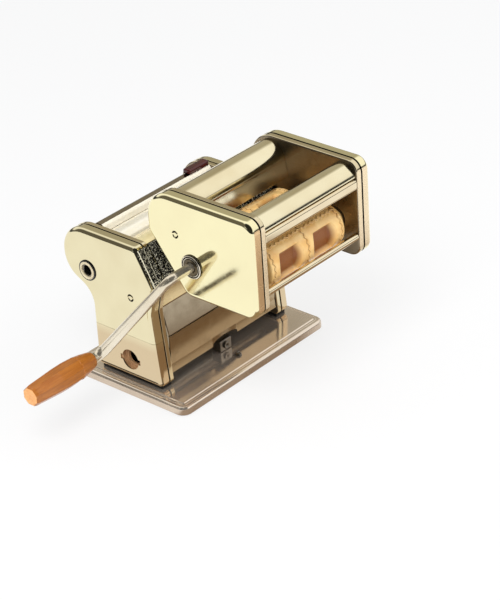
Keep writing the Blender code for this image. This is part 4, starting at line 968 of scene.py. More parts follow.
@dataclass(frozen=True)
class Dimple:
    """A small dished rivet seat pressed into a face, with the rivet's head in it."""

    centre: tuple[float, float]
    radius: float = 3.9
    slant: tuple[float, float] = (0.55, 0.835)
    face_from: float = 79.0
    dish: Rows = ((1.0, 0.0), (0.96, 0.01), (0.9, 0.04), (0.84, 0.16), (0.78, 0.21), (0.66, 0.22), (0.6, 0.18),
                  (0.54, 0.07), (0.46, 0.02), (0.2, 0.0), (0.05, 0.0))

    def patch(self, face: float, way: float) -> tuple[Array, Patch]:
        """The seat, whose rings and depths follow the dish's table of shares of the radius.

        Args:
            face: X of the face.
            way: Sign of the direction into the metal.

        Returns:
            The ring that borders the face, and the seat.
        """
        out, sunk = np.array(self.dish).T
        rows = np.stack([face + way * sunk * self.radius, (1 - out) * self.radius], axis=-1)
        rings = stacked(*circle(self.centre, self.radius, 32), rows)
        return rings[0], joined([grid(rings, True), cap([rings[-1]])])

    def crescents(self, places: Array) -> Array:
        """Picks the two crescents of painted shade: 0.5 to 0.95 of the radius, within 40 degrees of a slanted line.

        Args:
            places: Middles of faces.

        Returns:
            True where a face is picked.
        """
        away = (places[:, 1:] - self.centre) / self.radius
        reach = np.linalg.norm(away, axis=1)
        along = np.abs(away @ np.array(self.slant)) / np.maximum(reach, 1e-6)
        return (reach > 0.5) & (reach < 0.95) & (along > 0.766) & (np.abs(places[:, 0]) > self.face_from)


def pierced_shell(path: Array, normals: Array, profile: Array, holes: Sequence[Hole] = (),
                  dimples: Sequence[Dimple] = ()) -> Patch:
    """A shell whose rim follows a profile and whose flat face and back are pierced.

    Args:
        path: Outline (y, z).
        normals: Its outward normals.
        profile: Rows of (x, inset) from the face round the rim to the back.
        holes: Openings through both.
        dimples: Seats pressed into the face alone.

    Returns:
        The closed shell.
    """
    rings = stacked(path, normals, profile)
    face, back = profile[0, 0], profile[-1, 0]
    seats = [dimple.patch(face, np.sign(back - face)) for dimple in dimples]
    front = cap([rings[0]] + [hole.at(face) for hole in holes] + [ring for ring, _ in seats])
    behind = cap([rings[-1]] + [along_x(hole.path, back) for hole in holes])
    return joined([grid(rings, True), front, behind] + [hole.wall(face, back) for hole in holes]
                  + [seat for _, seat in seats])


def keyed_circle(centre: Array, radius: float, half_key: float, reach: float) -> Path:
    """A round hole with a square notch to the front and to the back, its corners barely rounded.

    Args:
        centre: The hole's (y, z).
        radius: Radius of its round.
        half_key: Half of a notch's width.
        reach: How far a notch goes from the centre.

    Returns:
        The hole's outline.
    """
    turn = np.arcsin(half_key / radius)
    arc = np.linspace(turn, np.pi - turn, 20)
    top = np.stack([radius * np.cos(arc), radius * np.sin(arc), np.zeros(20)], axis=-1)
    key = np.array([[-reach, half_key, 0.5], [-reach, -half_key, 0.5]])
    table = np.concatenate([top, key, top * (-1, -1, 1), key * (-1, -1, 1)])
    table[:, :2] += centre
    return rounded(table, True, 30)


@dataclass
class Cheeks:
    """A pair of pressed cheeks, each a chromed cover outside and a steel plate inside.

    The outline is given as shares of its own box, which starts at low and measures size.
    """

    low: tuple[float, float]
    size: tuple[float, float]
    outer: float
    cover_depth: float
    plate_inner: float
    plate_depth: float
    dimple: tuple[float, float]
    step: float
    shares: Rows
    fillet: float = 5.0
    wall: float = 1.2
    plate_fillet: float = 1.5
    plate_wall: float = 1.6

    def corners(self) -> Array:
        """The outline's corners (y, z, radius).

        Returns:
            The corners, one to a row.
        """
        table = np.asarray(self.shares, float)
        flat = np.asarray(self.low) + table[:, :2] * np.asarray(self.size)
        return np.concatenate([flat, table[:, 2:] * self.size[1]], axis=1)

    def shell(self, side: Side, rows: Rows, turn: float, *features: Sequence) -> Patch:
        """A shell on the outline whose rim follows rows of (x, inset, corner radius), X counted outwards."""
        path, normals = rounded(self.corners(), True, self.step)
        return pierced_shell(path, normals, softened(rows, False, turn) * (side.value, 1), *features)

    def cover(self, side: Side, *holes: Hole) -> Patch:
        """A pressed cover: rounded edge, flank, stepped seam and the same again inside.

        Args:
            side: Which cheek it is for.
            holes: Its openings.

        Returns:
            The cover.
        """
        outer, fillet, wall = self.outer, self.fillet, self.wall
        rim, start = outer - self.cover_depth, fillet + 0.25
        rows = [(outer, start, 0), (outer, 0, fillet), (rim + 1.3, 0, 0.25), (rim + 1.3, 0.8, 0.15), (rim, 0.8, 0.2),
                (rim, wall, 0.1), (outer - wall, wall, fillet - wall), (outer - wall, start, 0)]
        return self.shell(side, rows, 9, holes, [Dimple(self.dimple)])

    def plate(self, side: Side, *holes: Hole) -> Patch:
        """An inner plate, its rim turned towards the cover.

        Args:
            side: Which cheek it is for.
            holes: Its openings.

        Returns:
            The plate.
        """
        inner, wall = self.plate_inner, self.plate_wall
        rim, start = inner + self.plate_depth, self.plate_fillet + 0.6
        rows = [(inner, start, 0), (inner, 0, self.plate_fillet), (rim, 0, 0.35), (rim, wall, 0.35),
                (inner + wall, wall, 0.3), (inner + wall, start, 0)]
        return self.shell(side, rows, 15, holes)

    def seam(self, depth: float) -> Rule:
        """Picks the seam, up to a depth behind the cover's rim, and the crescents of the rivet seat, all painted as
        shade.
        """
        rim = self.outer - self.cover_depth + depth
        return lambda p: (np.abs(p[:, 0]) < rim) | Dimple(self.dimple).crescents(p)


@dataclass
class RollingCheeks(Cheeks):
    """Both cheeks of the rolling body."""

    low: tuple[float, float] = (-37.5, 13.0)
    size: tuple[float, float] = (113.0, 139.0)
    outer: float = 90.0
    cover_depth: float = 11.5
    plate_inner: float = 73.0
    plate_depth: float = 5.2
    dimple: tuple[float, float] = (-7.5, 99.0)
    step: float = 5
    shares: Rows = ((0.0, 0.0, 0.032), (0.72, 0.0, 0.032), (0.712, 0.54, 0.155), (1.0, 0.665, 0.2), (1.0, 1.0, 0.2),
                    (0.181, 1.0, 0.045), (0.0, 0.73, 0.06), (0.06, 0.54, 0.12))

    def slanted_flank(self, places: Array) -> Array:
        """Picks the flank beside the rails: within 0.9 mm of the slanted front, between its bends.

        Args:
            places: Middles of faces.

        Returns:
            True where a face is picked.
        """
        low, high = self.corners()[6, :2], self.corners()[5, :2]
        away = (places[:, 1:] - low) @ -right_of(unit(high - low))
        return (away > -0.9) & (places[:, 2] > low[1] + 2) & (places[:, 2] < high[1] - 4) & (np.abs(places[:, 0]) < 88)

    def build(self, bench: Bench) -> None:
        """Make both covers and both plates, the plates with a window for the front roller.

        Args:
            bench: Where pieces are made.
        """
        window = rectangle(FRONT_AXIS - (12.35, 9), FRONT_AXIS + (10.35, 9), 0.8, 15)
        bores = [Hole(*circle(REAR_AXIS, 8.45, 48), 0.2), Hole(*window, 0.2)]
        holes = {Side.LEFT: [Hole(*circle(INPUT_AXIS, 9.45)), Hole(*keyed_circle(MOTOR_AXIS, 10.0, 2.5, 12.2), 0.25)],
                 Side.RIGHT: [Hole(*circle(FRONT_AXIS, 4.35, 48), 0.3)]}
        # The slanted flank is painted dark with bright lines, a painted reflection with painted highlights
        flank = (FLANK_PAINTED_REFLECTION, self.slanted_flank)
        for side in Side:
            more = [Hole(*circle(INPUT_AXIS, 9.45, 48), 0.2)] if side is Side.LEFT else []
            bench.piece(f"cheek_cover_{side.word}", self.cover(side, *holes[side]), CHEEK_CHROME, 28,
                        (SEAM_SHADE, self.seam(1.25)), flank)
            bench.piece(f"side_plate_{side.word}", self.plate(side, *bores, *more), PLATE_STEEL, 28,
                        (RIM_CHROME, lambda p: np.abs(p[:, 0]) > self.plate_inner + 0.5), flank)


@dataclass
class BaseTray:
    """The pressed tray under the body, its rubber feet and the clamp's parts at its front."""

    width: float = 200.0
    depth: float = 145.0
    corner: float = 9.0
    rim_top: float = 9.2
    top: float = 10.0
    fillet: float = 3.2
    wall: float = 1.4
    foot_inset: float = 20.0
    foot: Rows = ((0, 5.2, 0), (0, 8, 0.8), (3.0, 8, 0.2), (3.0, 7.4, 0.2), (3.8, 7.4, 0.2), (3.8, 8, 0.2),
                  (7.5, 8, 0.6), (7.5, 0.8, 0))
    nose: Rows = ((-35.6, 0.4, 0), (-36.6, 1.1, 0.3), (-37.0, 1.9, 0.3), (-37.3, 3.1, 0.5), (-36.9, 3.6, 0.4),
                  (-35.0, 3.6, 0.3), (-34.2, 0.5, 0))
    screw_y: float = -50.5
    screw_radius: float = 3.2

    def tray(self) -> Patch:
        """Rings of the rounded rectangle along Z: raised middle, step, rolled rim and the inside.

        Returns:
            The tray's shell.
        """
        half = np.array([self.width / 2, self.depth / 2])
        rim, inside = self.rim_top, self.rim_top - self.wall
        rows = [(self.top, 8.6, 0), (self.top, 7.8, 0.5), (rim, 7.0, 0.5), (rim, 5.2, 0.3), (rim - 0.35, 4.9, 0.3),
                (rim, 4.6, 0.3), (rim, 0, self.fillet), (1.0, 0, 0.4), (1.0, self.wall, 0.4),
                (inside, self.wall, self.fillet - self.wall), (inside, 8.4, 0)]
        return pierced_shell(*rectangle(-half, half, self.corner, 6), softened(rows, False, 10)).swapped(1, 2, 0)

    def clamp_screw(self) -> Patch:
        """A cross-slotted round head: a dome r = radius * sin a whose crown carries a slot's dip.

        Returns:
            The screw's head.
        """
        a = np.linspace(0.02, 1, 10) * np.pi / 2
        rows = np.stack([10.3 + 3.0 * np.cos(a), self.screw_radius * np.sin(a)], axis=-1)
        patch = lathe(rows, (0.0, self.screw_y), sides=48).swapped(1, 2, 0)
        x, y, z = patch.points.T
        across = np.minimum(np.abs(x), np.abs(y - self.screw_y))
        patch.points[:, 2] -= 0.8 * np.clip(1.2 - across * 2, 0, 1) * (z > 11.9)
        return patch

    def build(self, bench: Bench) -> None:
        """Make the tray, the feet, the pads' rubber, the clamp's block with its drilled nose, and its screw.

        Args:
            bench: Where pieces are made.
        """
        # The tray's rim below its step is tinted darker, a painted reflection
        bench.piece("base_tray", self.tray(), BASE_CHROME, 28, (BASE_RIM_PAINTED_REFLECTION, lambda p: p[:, 2] < self.rim_top - 2))
        for side in Side:
            for end, word in ((-1, "front"), (1, "rear")):
                place = (side.value * (self.width / 2 - self.foot_inset), end * (self.depth / 2 - self.foot_inset))
                foot = turned(self.foot, place, sides=40).swapped(1, 2, 0)
                bench.piece(f"rubber_foot_{word}_{side.word}", foot, RUBBER)
            bench.dress(RUBBER, f"cheek_pad_{side.word}")
        block = prism(*rectangle((-35.3, 10.3), (-24.3, 21.7), 0.8, 20), -8, 8, 0.8)
        nose = turned(self.nose, (0.0, 16.0), sides=40).swapped(1, 0, 2)
        bench.piece("clamp_block", joined([block, nose]), MACHINED)
        bench.piece("clamp_screw", self.clamp_screw(), MACHINED, 40)


@dataclass
class Panels:
    """The bent front panel with its clamp arch, the rear cover and the red clip on it."""

    reach: float = 72.7
    inset: float = 2.2
    wall: float = 1.3
    crease: float = 2.5
    arch_half: float = 17.0
    arch_height: float = 6.0
    foot_level: float = 22.0
    line_level: float = 60.0
    foot_run: float = 9.0
    foot_rows: int = 10
    line_steps: tuple[float, ...] = (1.4, 0.8, 0.4, 0.0, -0.4, -0.8, -1.4)
    line_dents: tuple[float, ...] = (0, 0, 0.4, 0.55, 0.4, 0, 0)
    lip: float = REAR_AXIS[0] + 11.7
    rear_top: float = 150.8
    clip_size: Triple = (27.0, 9.0, 5.0)
    # Above this height the panel takes its painted light tint
    upper_level: float = 88.5
    inside_levels: tuple[float, float] = (95.0, 151.0)
    inside_lean: Triple = (40.36, 88.06, 0.1163)
    fold_level: float = 144.0
    fold_edge: float = REAR_AXIS[0] + 13.2

    def front(self, cheeks: RollingCheeks) -> Patch:
        """The panel as a grid whose last rows follow the arch.

        Down the path, over the last foot_run its height rises by share * rise(x), where the arch's rise is
        height * (1 - (x / half) ** 2) ** 0.3; a dented line crosses it at line_level.

        Args:
            cheeks: The cheeks that the panel follows.

        Returns:
            The panel's shell.
        """
        table, rows = cheeks.corners(), self.foot_rows
        path, normals = rounded([(*table[5, :2], 0), table[6], (*table[7, :2], self.crease),
                                 (cheeks.low[0], self.foot_level, 0)], False, 3)
        path[0] = path[0] + unit(path[1] - path[0]) * self.inset
        straight = np.linspace(0, 1, rows + 1)[1:, None]
        base = path[-1] + unit(path[-2] - path[-1]) * self.foot_run
        tail = base + (path[-1] - base) * straight
        line = self.line_level + np.array(self.line_steps)
        groove = np.stack([np.full(len(line), path[-1, 0]), line], axis=-1)
        path = np.concatenate([path[:-1], groove, base[None], tail])
        normals = np.concatenate([normals, np.repeat(normals[-1:], rows + len(line), axis=0)])
        dent, share = np.zeros(len(path)), np.zeros(len(path))
        dent[-rows - 1 - len(line):-rows - 1] = self.line_dents
        share[-rows:] = straight[:, 0]
        arch = -self.arch_half * np.cos(np.linspace(0, np.pi, 41))
        xs = np.concatenate([[-self.reach, -self.arch_half - 0.4], arch, [self.arch_half + 0.4, self.reach]])
        rise = np.where(np.abs(xs) < self.arch_half, np.clip(1 - (xs / self.arch_half) ** 2, 0, 1) ** 0.3, 0)
        grids = []
        for depth in (self.inset, self.inset + self.wall):
            flat = path - (depth + dent)[:, None] * normals
            z = flat[:, 1:] + share[:, None] * rise[None] * self.arch_height
            grids.append(np.stack([np.broadcast_to(xs, z.shape), np.broadcast_to(flat[:, :1], z.shape), z], axis=-1))
        return sheet(*grids)

    def rear(self, cheeks: RollingCheeks) -> Patch:
        """The cover that rises behind the rollers, folds over the back one and turns down beside it.

        Args:
            cheeks: The cheeks that it follows.

        Returns:
            The cover's closed strip.
        """
        y, z, radius = cheeks.corners()[2]
        path, normals = rounded([(y - 3, 56, 0), (y - 3, z, radius), (self.lip + 10, self.rear_top, 3),
                                 (self.lip, self.rear_top, 2.5), (self.lip - 1.7, 145.6, 0)], False, 6)
        return hemmed_band(path, normals, -self.wall, self.wall, self.reach)

    def clip(self) -> Patch:
        """The clip: a bar with a rounded top that sits on the rear cover's fold.

        Returns:
            The clip.
        """
        length, depth, height = self.clip_size
        y, z = self.lip + 0.5, self.rear_top + self.wall + SEAT
        outline = rectangle((y, z), (y + depth, z + height), (0.5, 0.5, 2.4, 2.4), 10)
        return prism(*outline, self.reach - length, self.reach, 1.2)

    def build(self, bench: Bench, cheeks: RollingCheeks) -> None:
        """Make the panel, the cover and the clip.

        Args:
            bench: Where pieces are made.
            cheeks: The cheeks that they follow.
        """
        bench.piece("front_panel", self.front(cheeks), PANEL_PAINTED_REFLECTION, 40,
                    # Above upper_level the panel is painted lighter, as painted light
                    (UPPER_PANEL_PAINTED_LIGHT, lambda p: p[:, 2] > self.upper_level),
                    # The dented line is painted dark, as shade in its groove
                    (SEAM_SHADE, lambda p: np.abs(p[:, 2] - self.line_level) < 0.5))
        # Inside the rear cover and on its fold, painted light lightens faces that lie in shade
        (low, high), (y, z, lean) = self.inside_levels, self.inside_lean
        inside = lambda p: (p[:, 2] > low) & (p[:, 2] < high) & (p[:, 1] < y + (p[:, 2] - z) * lean)
        fold = lambda p: (p[:, 2] > self.fold_level) & (p[:, 1] < self.fold_edge)
        bench.piece("rear_cover", self.rear(cheeks), REAR_CHROME, 24, (INNER_PAINTED_LIGHT, inside), (LIP_PAINTED_LIGHT, fold))
        bench.piece("rear_clip", self.clip(), RED_PLASTIC, 40)


# Rollers, shafts and bearings ---------------------------------------------------------------------


@dataclass
class SheetRollers:
    """The two smooth rollers, the input shaft with its socket, and the rings and bars round them.

    Each piece is rows of (x, r, corner radius): a long ground body with a journal at each end, a round bar
    with a deep socket, a domed ring with a bead near its bore, a stepped ring, and a bar with shoulders.
    """

    roller: Rows = ((-87.6, 4.2, 0), (-87.6, 5, 0.5), (-73.6, 5, 0.2), (-72.1, 5, 0.2), (-72.1, 14.5, 0.5),
                    (72.1, 14.5, 0.5), (72.1, 5, 0.2), (77.4, 5, 0.5), (77.4, 4.2, 0))
    shaft: Rows = ((-73.3, 5.0, 0), (-73.3, 6, 0.5), (-90.3, 6, 0.25), (-90.3, 5.35, 0.1), (-89.7, 4.9, 0.1),
                   (-75.5, 4.9, 0.3), (-75.5, 4.0, 0))
    bush: Rows = ((-87.5, 6.35, 0.1), (-91.7, 6.35, 0.4), (-91.9, 7.9, 0.5), (-91.2, 8.6, 0.3), (-91.35, 9.3, 0.3),
                  (-90.3, 10.9, 0.3), (-90.3, 9.15, 0.1), (-87.5, 9.15, 0.2))
    ring: Rows = ((-88.5, 10.3, 0.3), (-84.5, 10.3, 0.2), (-84.5, 7.4, 0.2), (-81.5, 7.4, 0.3), (-81.5, 14.3, 0.5),
                  (-88.5, 14.3, 0.5))
    rod: Rows = ((-72.7, 2.4, 0), (-72.7, 3.4, 0.3), (-70.4, 3.4, 0.2), (-70.0, 4, 0.3), (70.0, 4, 0.3),
                 (70.4, 3.4, 0.2), (72.7, 3.4, 0.3), (72.7, 2.4, 0))
    rod_axes: tuple[tuple[str, float, float], ...] = (("front", -18.3, 30.0), ("rear", 23.86, 30.0))

    def build(self, bench: Bench) -> None:
        """Make the turned pieces and finish the gears, blocks and blades.

        Args:
            bench: Where pieces are made.
        """
        bench.piece("rear_sheet_roller", turned(self.roller, REAR_AXIS, sides=128), REAR_ROLLER)
        bench.piece("front_sheet_roller", turned(self.roller, FRONT_AXIS, sides=128), FRONT_ROLLER)
        bench.piece("input_shaft", turned(self.shaft, INPUT_AXIS, sides=64), MACHINED)
        # Past 8.75 mm from the axis the bush is painted black: painted shade round its rim
        bench.piece("input_bush", turned(self.bush, INPUT_AXIS, True, 96), WHITE_PLASTIC, 32,
                    (BLACK_PLASTIC, lambda p: np.linalg.norm(p[:, 1:] - INPUT_AXIS, axis=1) > 8.75))
        bench.piece("motor_ring", turned(self.ring, MOTOR_AXIS, True, 96), SOCKET_BROWN)
        for end, y, z in self.rod_axes:
            bench.piece(f"tie_rod_{end}", turned(self.rod, (y, z)), ROD_STEEL)
        bench.dress(MACHINED, "input_gear", "rear_roller_gear", "front_roller_gear", "carrier_block_left",
                    "carrier_block_right")
        bench.dress(WHITE_PLASTIC, "roller_bearing_left", "roller_bearing_right")
        bench.dress(BLADE_STEEL, "scraper_front", "scraper_rear")


@dataclass
class Regulator:
    """The knob that sets the roller gap, its shaft and its spring."""

    near: float = 91.2
    far: float = 108.0
    radius: float = 22.0
    flutes: int = 8
    flute_depth: float = 1.1
    sides: int = 192
    marks: int = 9
    mark_radius: float = 16.2
    stem: Rows = ((82.8, 4, 0.2), (103.0, 4, 0.1), (103.0, 6.4, 0.3), (104.8, 6.4, 0.8), (104.8, 0.8, 0))
    disc: Rows = ((78.8, 0.8, 0), (78.8, 7, 0.3), (82.8, 7, 0.3), (82.8, 4, 0.1))
    spring_low: float = 94.95
    spring_high: float = 102.25
    spring_radius: float = 6.0
    spring_turns: float = 3.0
    wire: float = 0.45
    squeezed: float = 0.5

    def knob(self) -> Patch:
        """A cupped knob whose grip dips by depth * (1 - cos(flutes * a)) / 2, raised to a flat-topped wave.

        Returns:
            The knob without its marks.
        """
        near, far, radius = self.near, self.far, self.radius
        rows = softened([(near, 4.3, 0.2), (near, radius - 1, 1.2), (near + 1.6, radius, 0.8), (far, radius, 1.8),
                         (far, 17.6, 0.4), (far - 0.7, 17.2, 0.3), (far - 0.7, 10.2, 0.3), (far, 9.8, 0.3),
                         (far, 8, 0.4), (near + 3, 8, 0.4), (near + 3, 4.3, 0.2)], True)
        wave = ((1 - np.cos(self.flutes * (TAU * np.arange(self.sides) / self.sides))) / 2) ** 1.6
        grip = np.clip((rows[:, 1] - 18.5) / 3, 0, 1) * np.clip((rows[:, 0] - near) / 2.5, 0, 1)
        shape = 1 - grip[:, None] * wave[None] * self.flute_depth / radius
        return lathe(rows, FRONT_AXIS, True, self.sides, shape)

    def mark(self, number: int) -> Patch:
        """A raised tick in the dished face, one to each step of the gap, the first one longer.

        Args:
            number: Which tick it is, from 0.

        Returns:
            The tick.
        """
        angle = np.pi / 2 + (number - 4) * TAU / 14
        out, across = np.array([np.cos(angle), np.sin(angle)]), np.array([-np.sin(angle), np.cos(angle)])
        length = 1.6 if number else 2.6
        table = [FRONT_AXIS + (self.mark_radius - length * u) * out + 0.35 * v * across
                 for u, v in ((0, -1), (0, 1), (1, 1), (1, -1))]
        return prism(*rounded([(*corner, 0.2) for corner in table], True, 30), self.far - 0.9, self.far - 0.42, 0.1)

    def shaft(self) -> Patch:
        """The shaft: eccentric disc, stem and domed head, each ring round its own middle.

        Returns:
            The shaft.
        """
        disc, stem = softened(self.disc), softened(self.stem)
        patch = lathe(np.concatenate([disc, stem]), (0, 0), sides=64)
        patch.points[:, 1:] += np.repeat([FRONT_AXIS + (1.0, 0), FRONT_AXIS], [len(disc) * 64, len(stem) * 64], axis=0)
        return patch

    def spring(self) -> Patch:
        """The spring in the knob's cup: (x(t), r * cos(turns * a), r * sin(turns * a)), its end turns laid flat.

        Returns:
            The spring's wire.
        """
        t = np.linspace(0, 1, 145)
        turn = TAU * self.spring_turns * t
        spokes = np.stack([np.zeros_like(t), np.cos(turn), np.sin(turn)], axis=-1)
        route = np.array([0.0, *FRONT_AXIS]) + self.spring_radius * spokes
        route[:, 0] = self.spring_low + (self.spring_high - self.spring_low) * np.clip((t - 0.12) / 0.76, 0, 1)
        return tube(route, np.full(len(t), self.wire), spokes, 14)

    def build(self, bench: Bench) -> None:
        """Make the knob with its marks, the shaft, and the spring that the knob squeezes when it is pulled.

        Args:
            bench: Where pieces are made.
        """
        knob = joined([self.knob()] + [self.mark(number) for number in range(self.marks)])
        white = lambda p: (p[:, 0] > self.far - 0.72) & (
            np.abs(np.linalg.norm(p[:, 1:] - FRONT_AXIS, axis=1) - 14.7) < 2.1)
        bench.piece("regulator_knob", knob, BLACK_PLASTIC, 32, (WHITE_PLASTIC, white))
        bench.piece("regulator_shaft", self.shaft(), MACHINED)
        spring = bench.piece("detent_spring", self.spring(), ROD_STEEL, 40, flat=False)
        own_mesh(spring)


@dataclass
class Rails:
    """Ribbed rails with a T slot on the slanted face, and the ravioli unit's shoes in them."""

    centre: float = 59.7
    bed: float = 2.2
    half: float = 11.5
    thickness: float = 8.0
    low: float = 2.0
    high: float = 40.0
    stop: float = 6.0
    rib_pitch: float = 1.28
    rib_depth: float = 0.55
    beads: tuple[float, ...] = (-10.4, -3.2, 3.2, 10.4)
    bead_half: float = 0.65
    mouth: float = 2.45
    slot: Rows = ((2.45, 5.6), (5.8, 5.6), (5.8, 2.2), (-5.8, 2.2), (-5.8, 5.6), (-2.45, 5.6))

    def frame(self, cheeks: RollingCheeks, side: Side) -> Array:
        """Origin and the three directions of a rail: across, out of the face and up along it.

        Args:
            cheeks: The cheeks whose slanted front it lies on.
            side: Which rail it is.

        Returns:
            Four rows of (x, y, z).
        """
        table = cheeks.corners()
        low, high = along_x(table[6, :2], 0.0), along_x(table[5, :2], 0.0)
        up, across = unit(high - low), np.array([1.0, 0.0, 0.0])
        out = np.cross(across, up)
        return np.stack([low - self.bed * out + SEAT * out + side.value * self.centre * across, across, out, up])

    def beside(self, u: Array) -> Array:
        """Distance of places across the rail from the nearest bead."""
        return np.min(np.abs(u[:, None] - np.array(self.beads)), axis=1)

    def top_edge(self, start: float, end: float) -> Array:
        """Ribbed top of the section: v = thickness - depth * (1 - |sin|) of the place across, whole at beads.

        Args:
            start: Place across where it begins.
            end: Place across where it ends.

        Returns:
            Rows of (u, v).
        """
        u = np.linspace(start, end, 84)
        rib = self.rib_depth * (1 - np.abs(np.sin(np.pi * (u - 0.3) / self.rib_pitch)) ** 0.5)
        gap = self.beside(u)
        sunk = np.where(gap < self.bead_half, 0.0, np.where(gap < self.bead_half + 0.35, 0.9, rib))
        return np.stack([u, self.thickness - sunk], axis=-1)

    def rail(self, cheeks: RollingCheeks, side: Side) -> Patch:
        """The solid foot of the rail, and the slotted length above it.

        Args:
            cheeks: The cheeks whose slanted front it lies on.
            side: Which rail it is.

        Returns:
            The rail.
        """
        half, shoulder, edge = self.half, self.thickness - 0.6, self.half - 0.4
        section = lambda *tops: np.concatenate([[[-half, 0], [half, 0], [half, shoulder]], *tops, [[-half, shoulder]]])
        whole = section(self.top_edge(edge, -edge))
        slotted = section(self.top_edge(edge, self.mouth), self.slot, self.top_edge(-self.mouth, -edge))
        flat = joined([prism(whole, None, self.low, self.stop), prism(slotted, None, self.stop + 0.01, self.high)])
        origin, across, out, up = self.frame(cheeks, side)
        w, u, v = flat.points.T[:, :, None]
        return Patch(origin + u * across + v * out + w * up, flat.faces)

    def bead_rule(self, cheeks: RollingCheeks, side: Side) -> Rule:
        """Picks the faces on top of the two beads beside the slot, which carry a painted highlight.

        Args:
            cheeks: The cheeks whose slanted front it lies on.
            side: Which rail it is.

        Returns:
            The rule.
        """
        origin, across, out, _ = self.frame(cheeks, side)
        return lambda p: (self.beside((p - origin) @ across) < self.bead_half) & (
            (p - origin) @ out > self.thickness - 0.25) & (np.abs((p - origin) @ across) < 5)

    def build(self, bench: Bench, cheeks: RollingCheeks) -> None:
        """Make both rails and finish both shoes.

        Args:
            bench: Where pieces are made.
            cheeks: The cheeks that they follow.
        """
        for side in Side:
            bench.piece(f"rail_{side.word}", self.rail(cheeks, side), RAIL, 25,
                        (BEAD_HIGHLIGHT, self.bead_rule(cheeks, side)))
            bench.dress(RAIL, f"rail_shoe_{side.word}")


# The ravioli unit ---------------------------------------------------------------------------------


@dataclass
class RavioliCheeks(Cheeks):
    """Cheeks of the ravioli unit, with their bearings and the ring round the crank."""

    low: tuple[float, float] = (-150.5, 115.5)
    size: tuple[float, float] = (124.0, 95.0)
    outer: float = 80.0
    cover_depth: float = 12.0
    plate_inner: float = 62.1
    plate_depth: float = 5.6
    dimple: tuple[float, float] = (-60.2, 175.0)
    step: float = 4
    shares: Rows = ((0.0, 0.0, 0.126), (0.669, 0.0, 0.147), (1.0, 0.574, 0.105), (1.0, 1.0, 0.27), (0.0, 1.0, 0.126))
    ring: Rows = ((-77.5, 8.35, 0.1), (-81.6, 8.35, 0.3), (-81.9, 9.0, 0.3), (-81.2, 9.5, 0.2), (-81.2, 9.9, 0.2),
                  (-81.9, 10.5, 0.35), (-81.3, 11.4, 0.4), (-80.3, 11.6, 0.2), (-80.3, 10.75, 0.1), (-77.5, 10.75, 0.2))

    def front_flange(self, places: Array) -> Array:
        """Picks the outside of the front flange, between the cheek's rounded edge and its inner side."""
        x = np.abs(places[:, 0])
        return (places[:, 1] < self.low[0] + 0.6) & (x < self.outer - 3.5) & (x > self.plate_inner + 0.5)

    def build(self, bench: Bench) -> None:
        """Make the cheeks and the crank's beaded ring, and finish the bearings, strippers and gears.

        Args:
            bench: Where pieces are made.
        """
        bores = [Hole(*circle(axis, 11.45), 0.2) for axis in (CRANK_AXIS, IDLE_AXIS)]
        # The front flanges take a painted reflection on the left and painted light on the right
        for side, finish, holes in ((Side.LEFT, UNIT_FLANGE_PAINTED_REFLECTION, [Hole(*circle(CRANK_AXIS, 11.05))]),
                                    (Side.RIGHT, UNIT_EDGE_PAINTED_LIGHT, [])):
            bench.piece(f"ravioli_cover_{side.word}", self.cover(side, *holes), UNIT_CHROME, 28,
                        (finish, self.front_flange), (SEAM_SHADE, self.seam(1.9)))
            bench.piece(f"ravioli_plate_{side.word}", self.plate(side, *bores), PLATE_STEEL, 28,
                        (RIM_CHROME, lambda p: np.abs(p[:, 0]) > self.plate_inner + 0.5),
                        (UNIT_EDGE_PAINTED_LIGHT, self.front_flange))
            bench.dress(MACHINED, f"forming_bearing_{side.word}")
        # The ring's grooves and its bore are painted dark, as shade
        grooves = lambda p: (p[:, 0] > -81.5) & (p[:, 0] < -80.4) | (
            np.linalg.norm(p[:, 1:] - CRANK_AXIS, axis=1) < 8.5)
        bench.piece("crank_bush", turned(self.ring, CRANK_AXIS, True, 96), CRANK_CHROME, 32, (SEAM_SHADE, grooves))
        bench.dress(BLADE_STEEL, "stripper_front", "stripper_rear")
        bench.dress(MACHINED, "rear_forming_gear", "front_forming_gear")


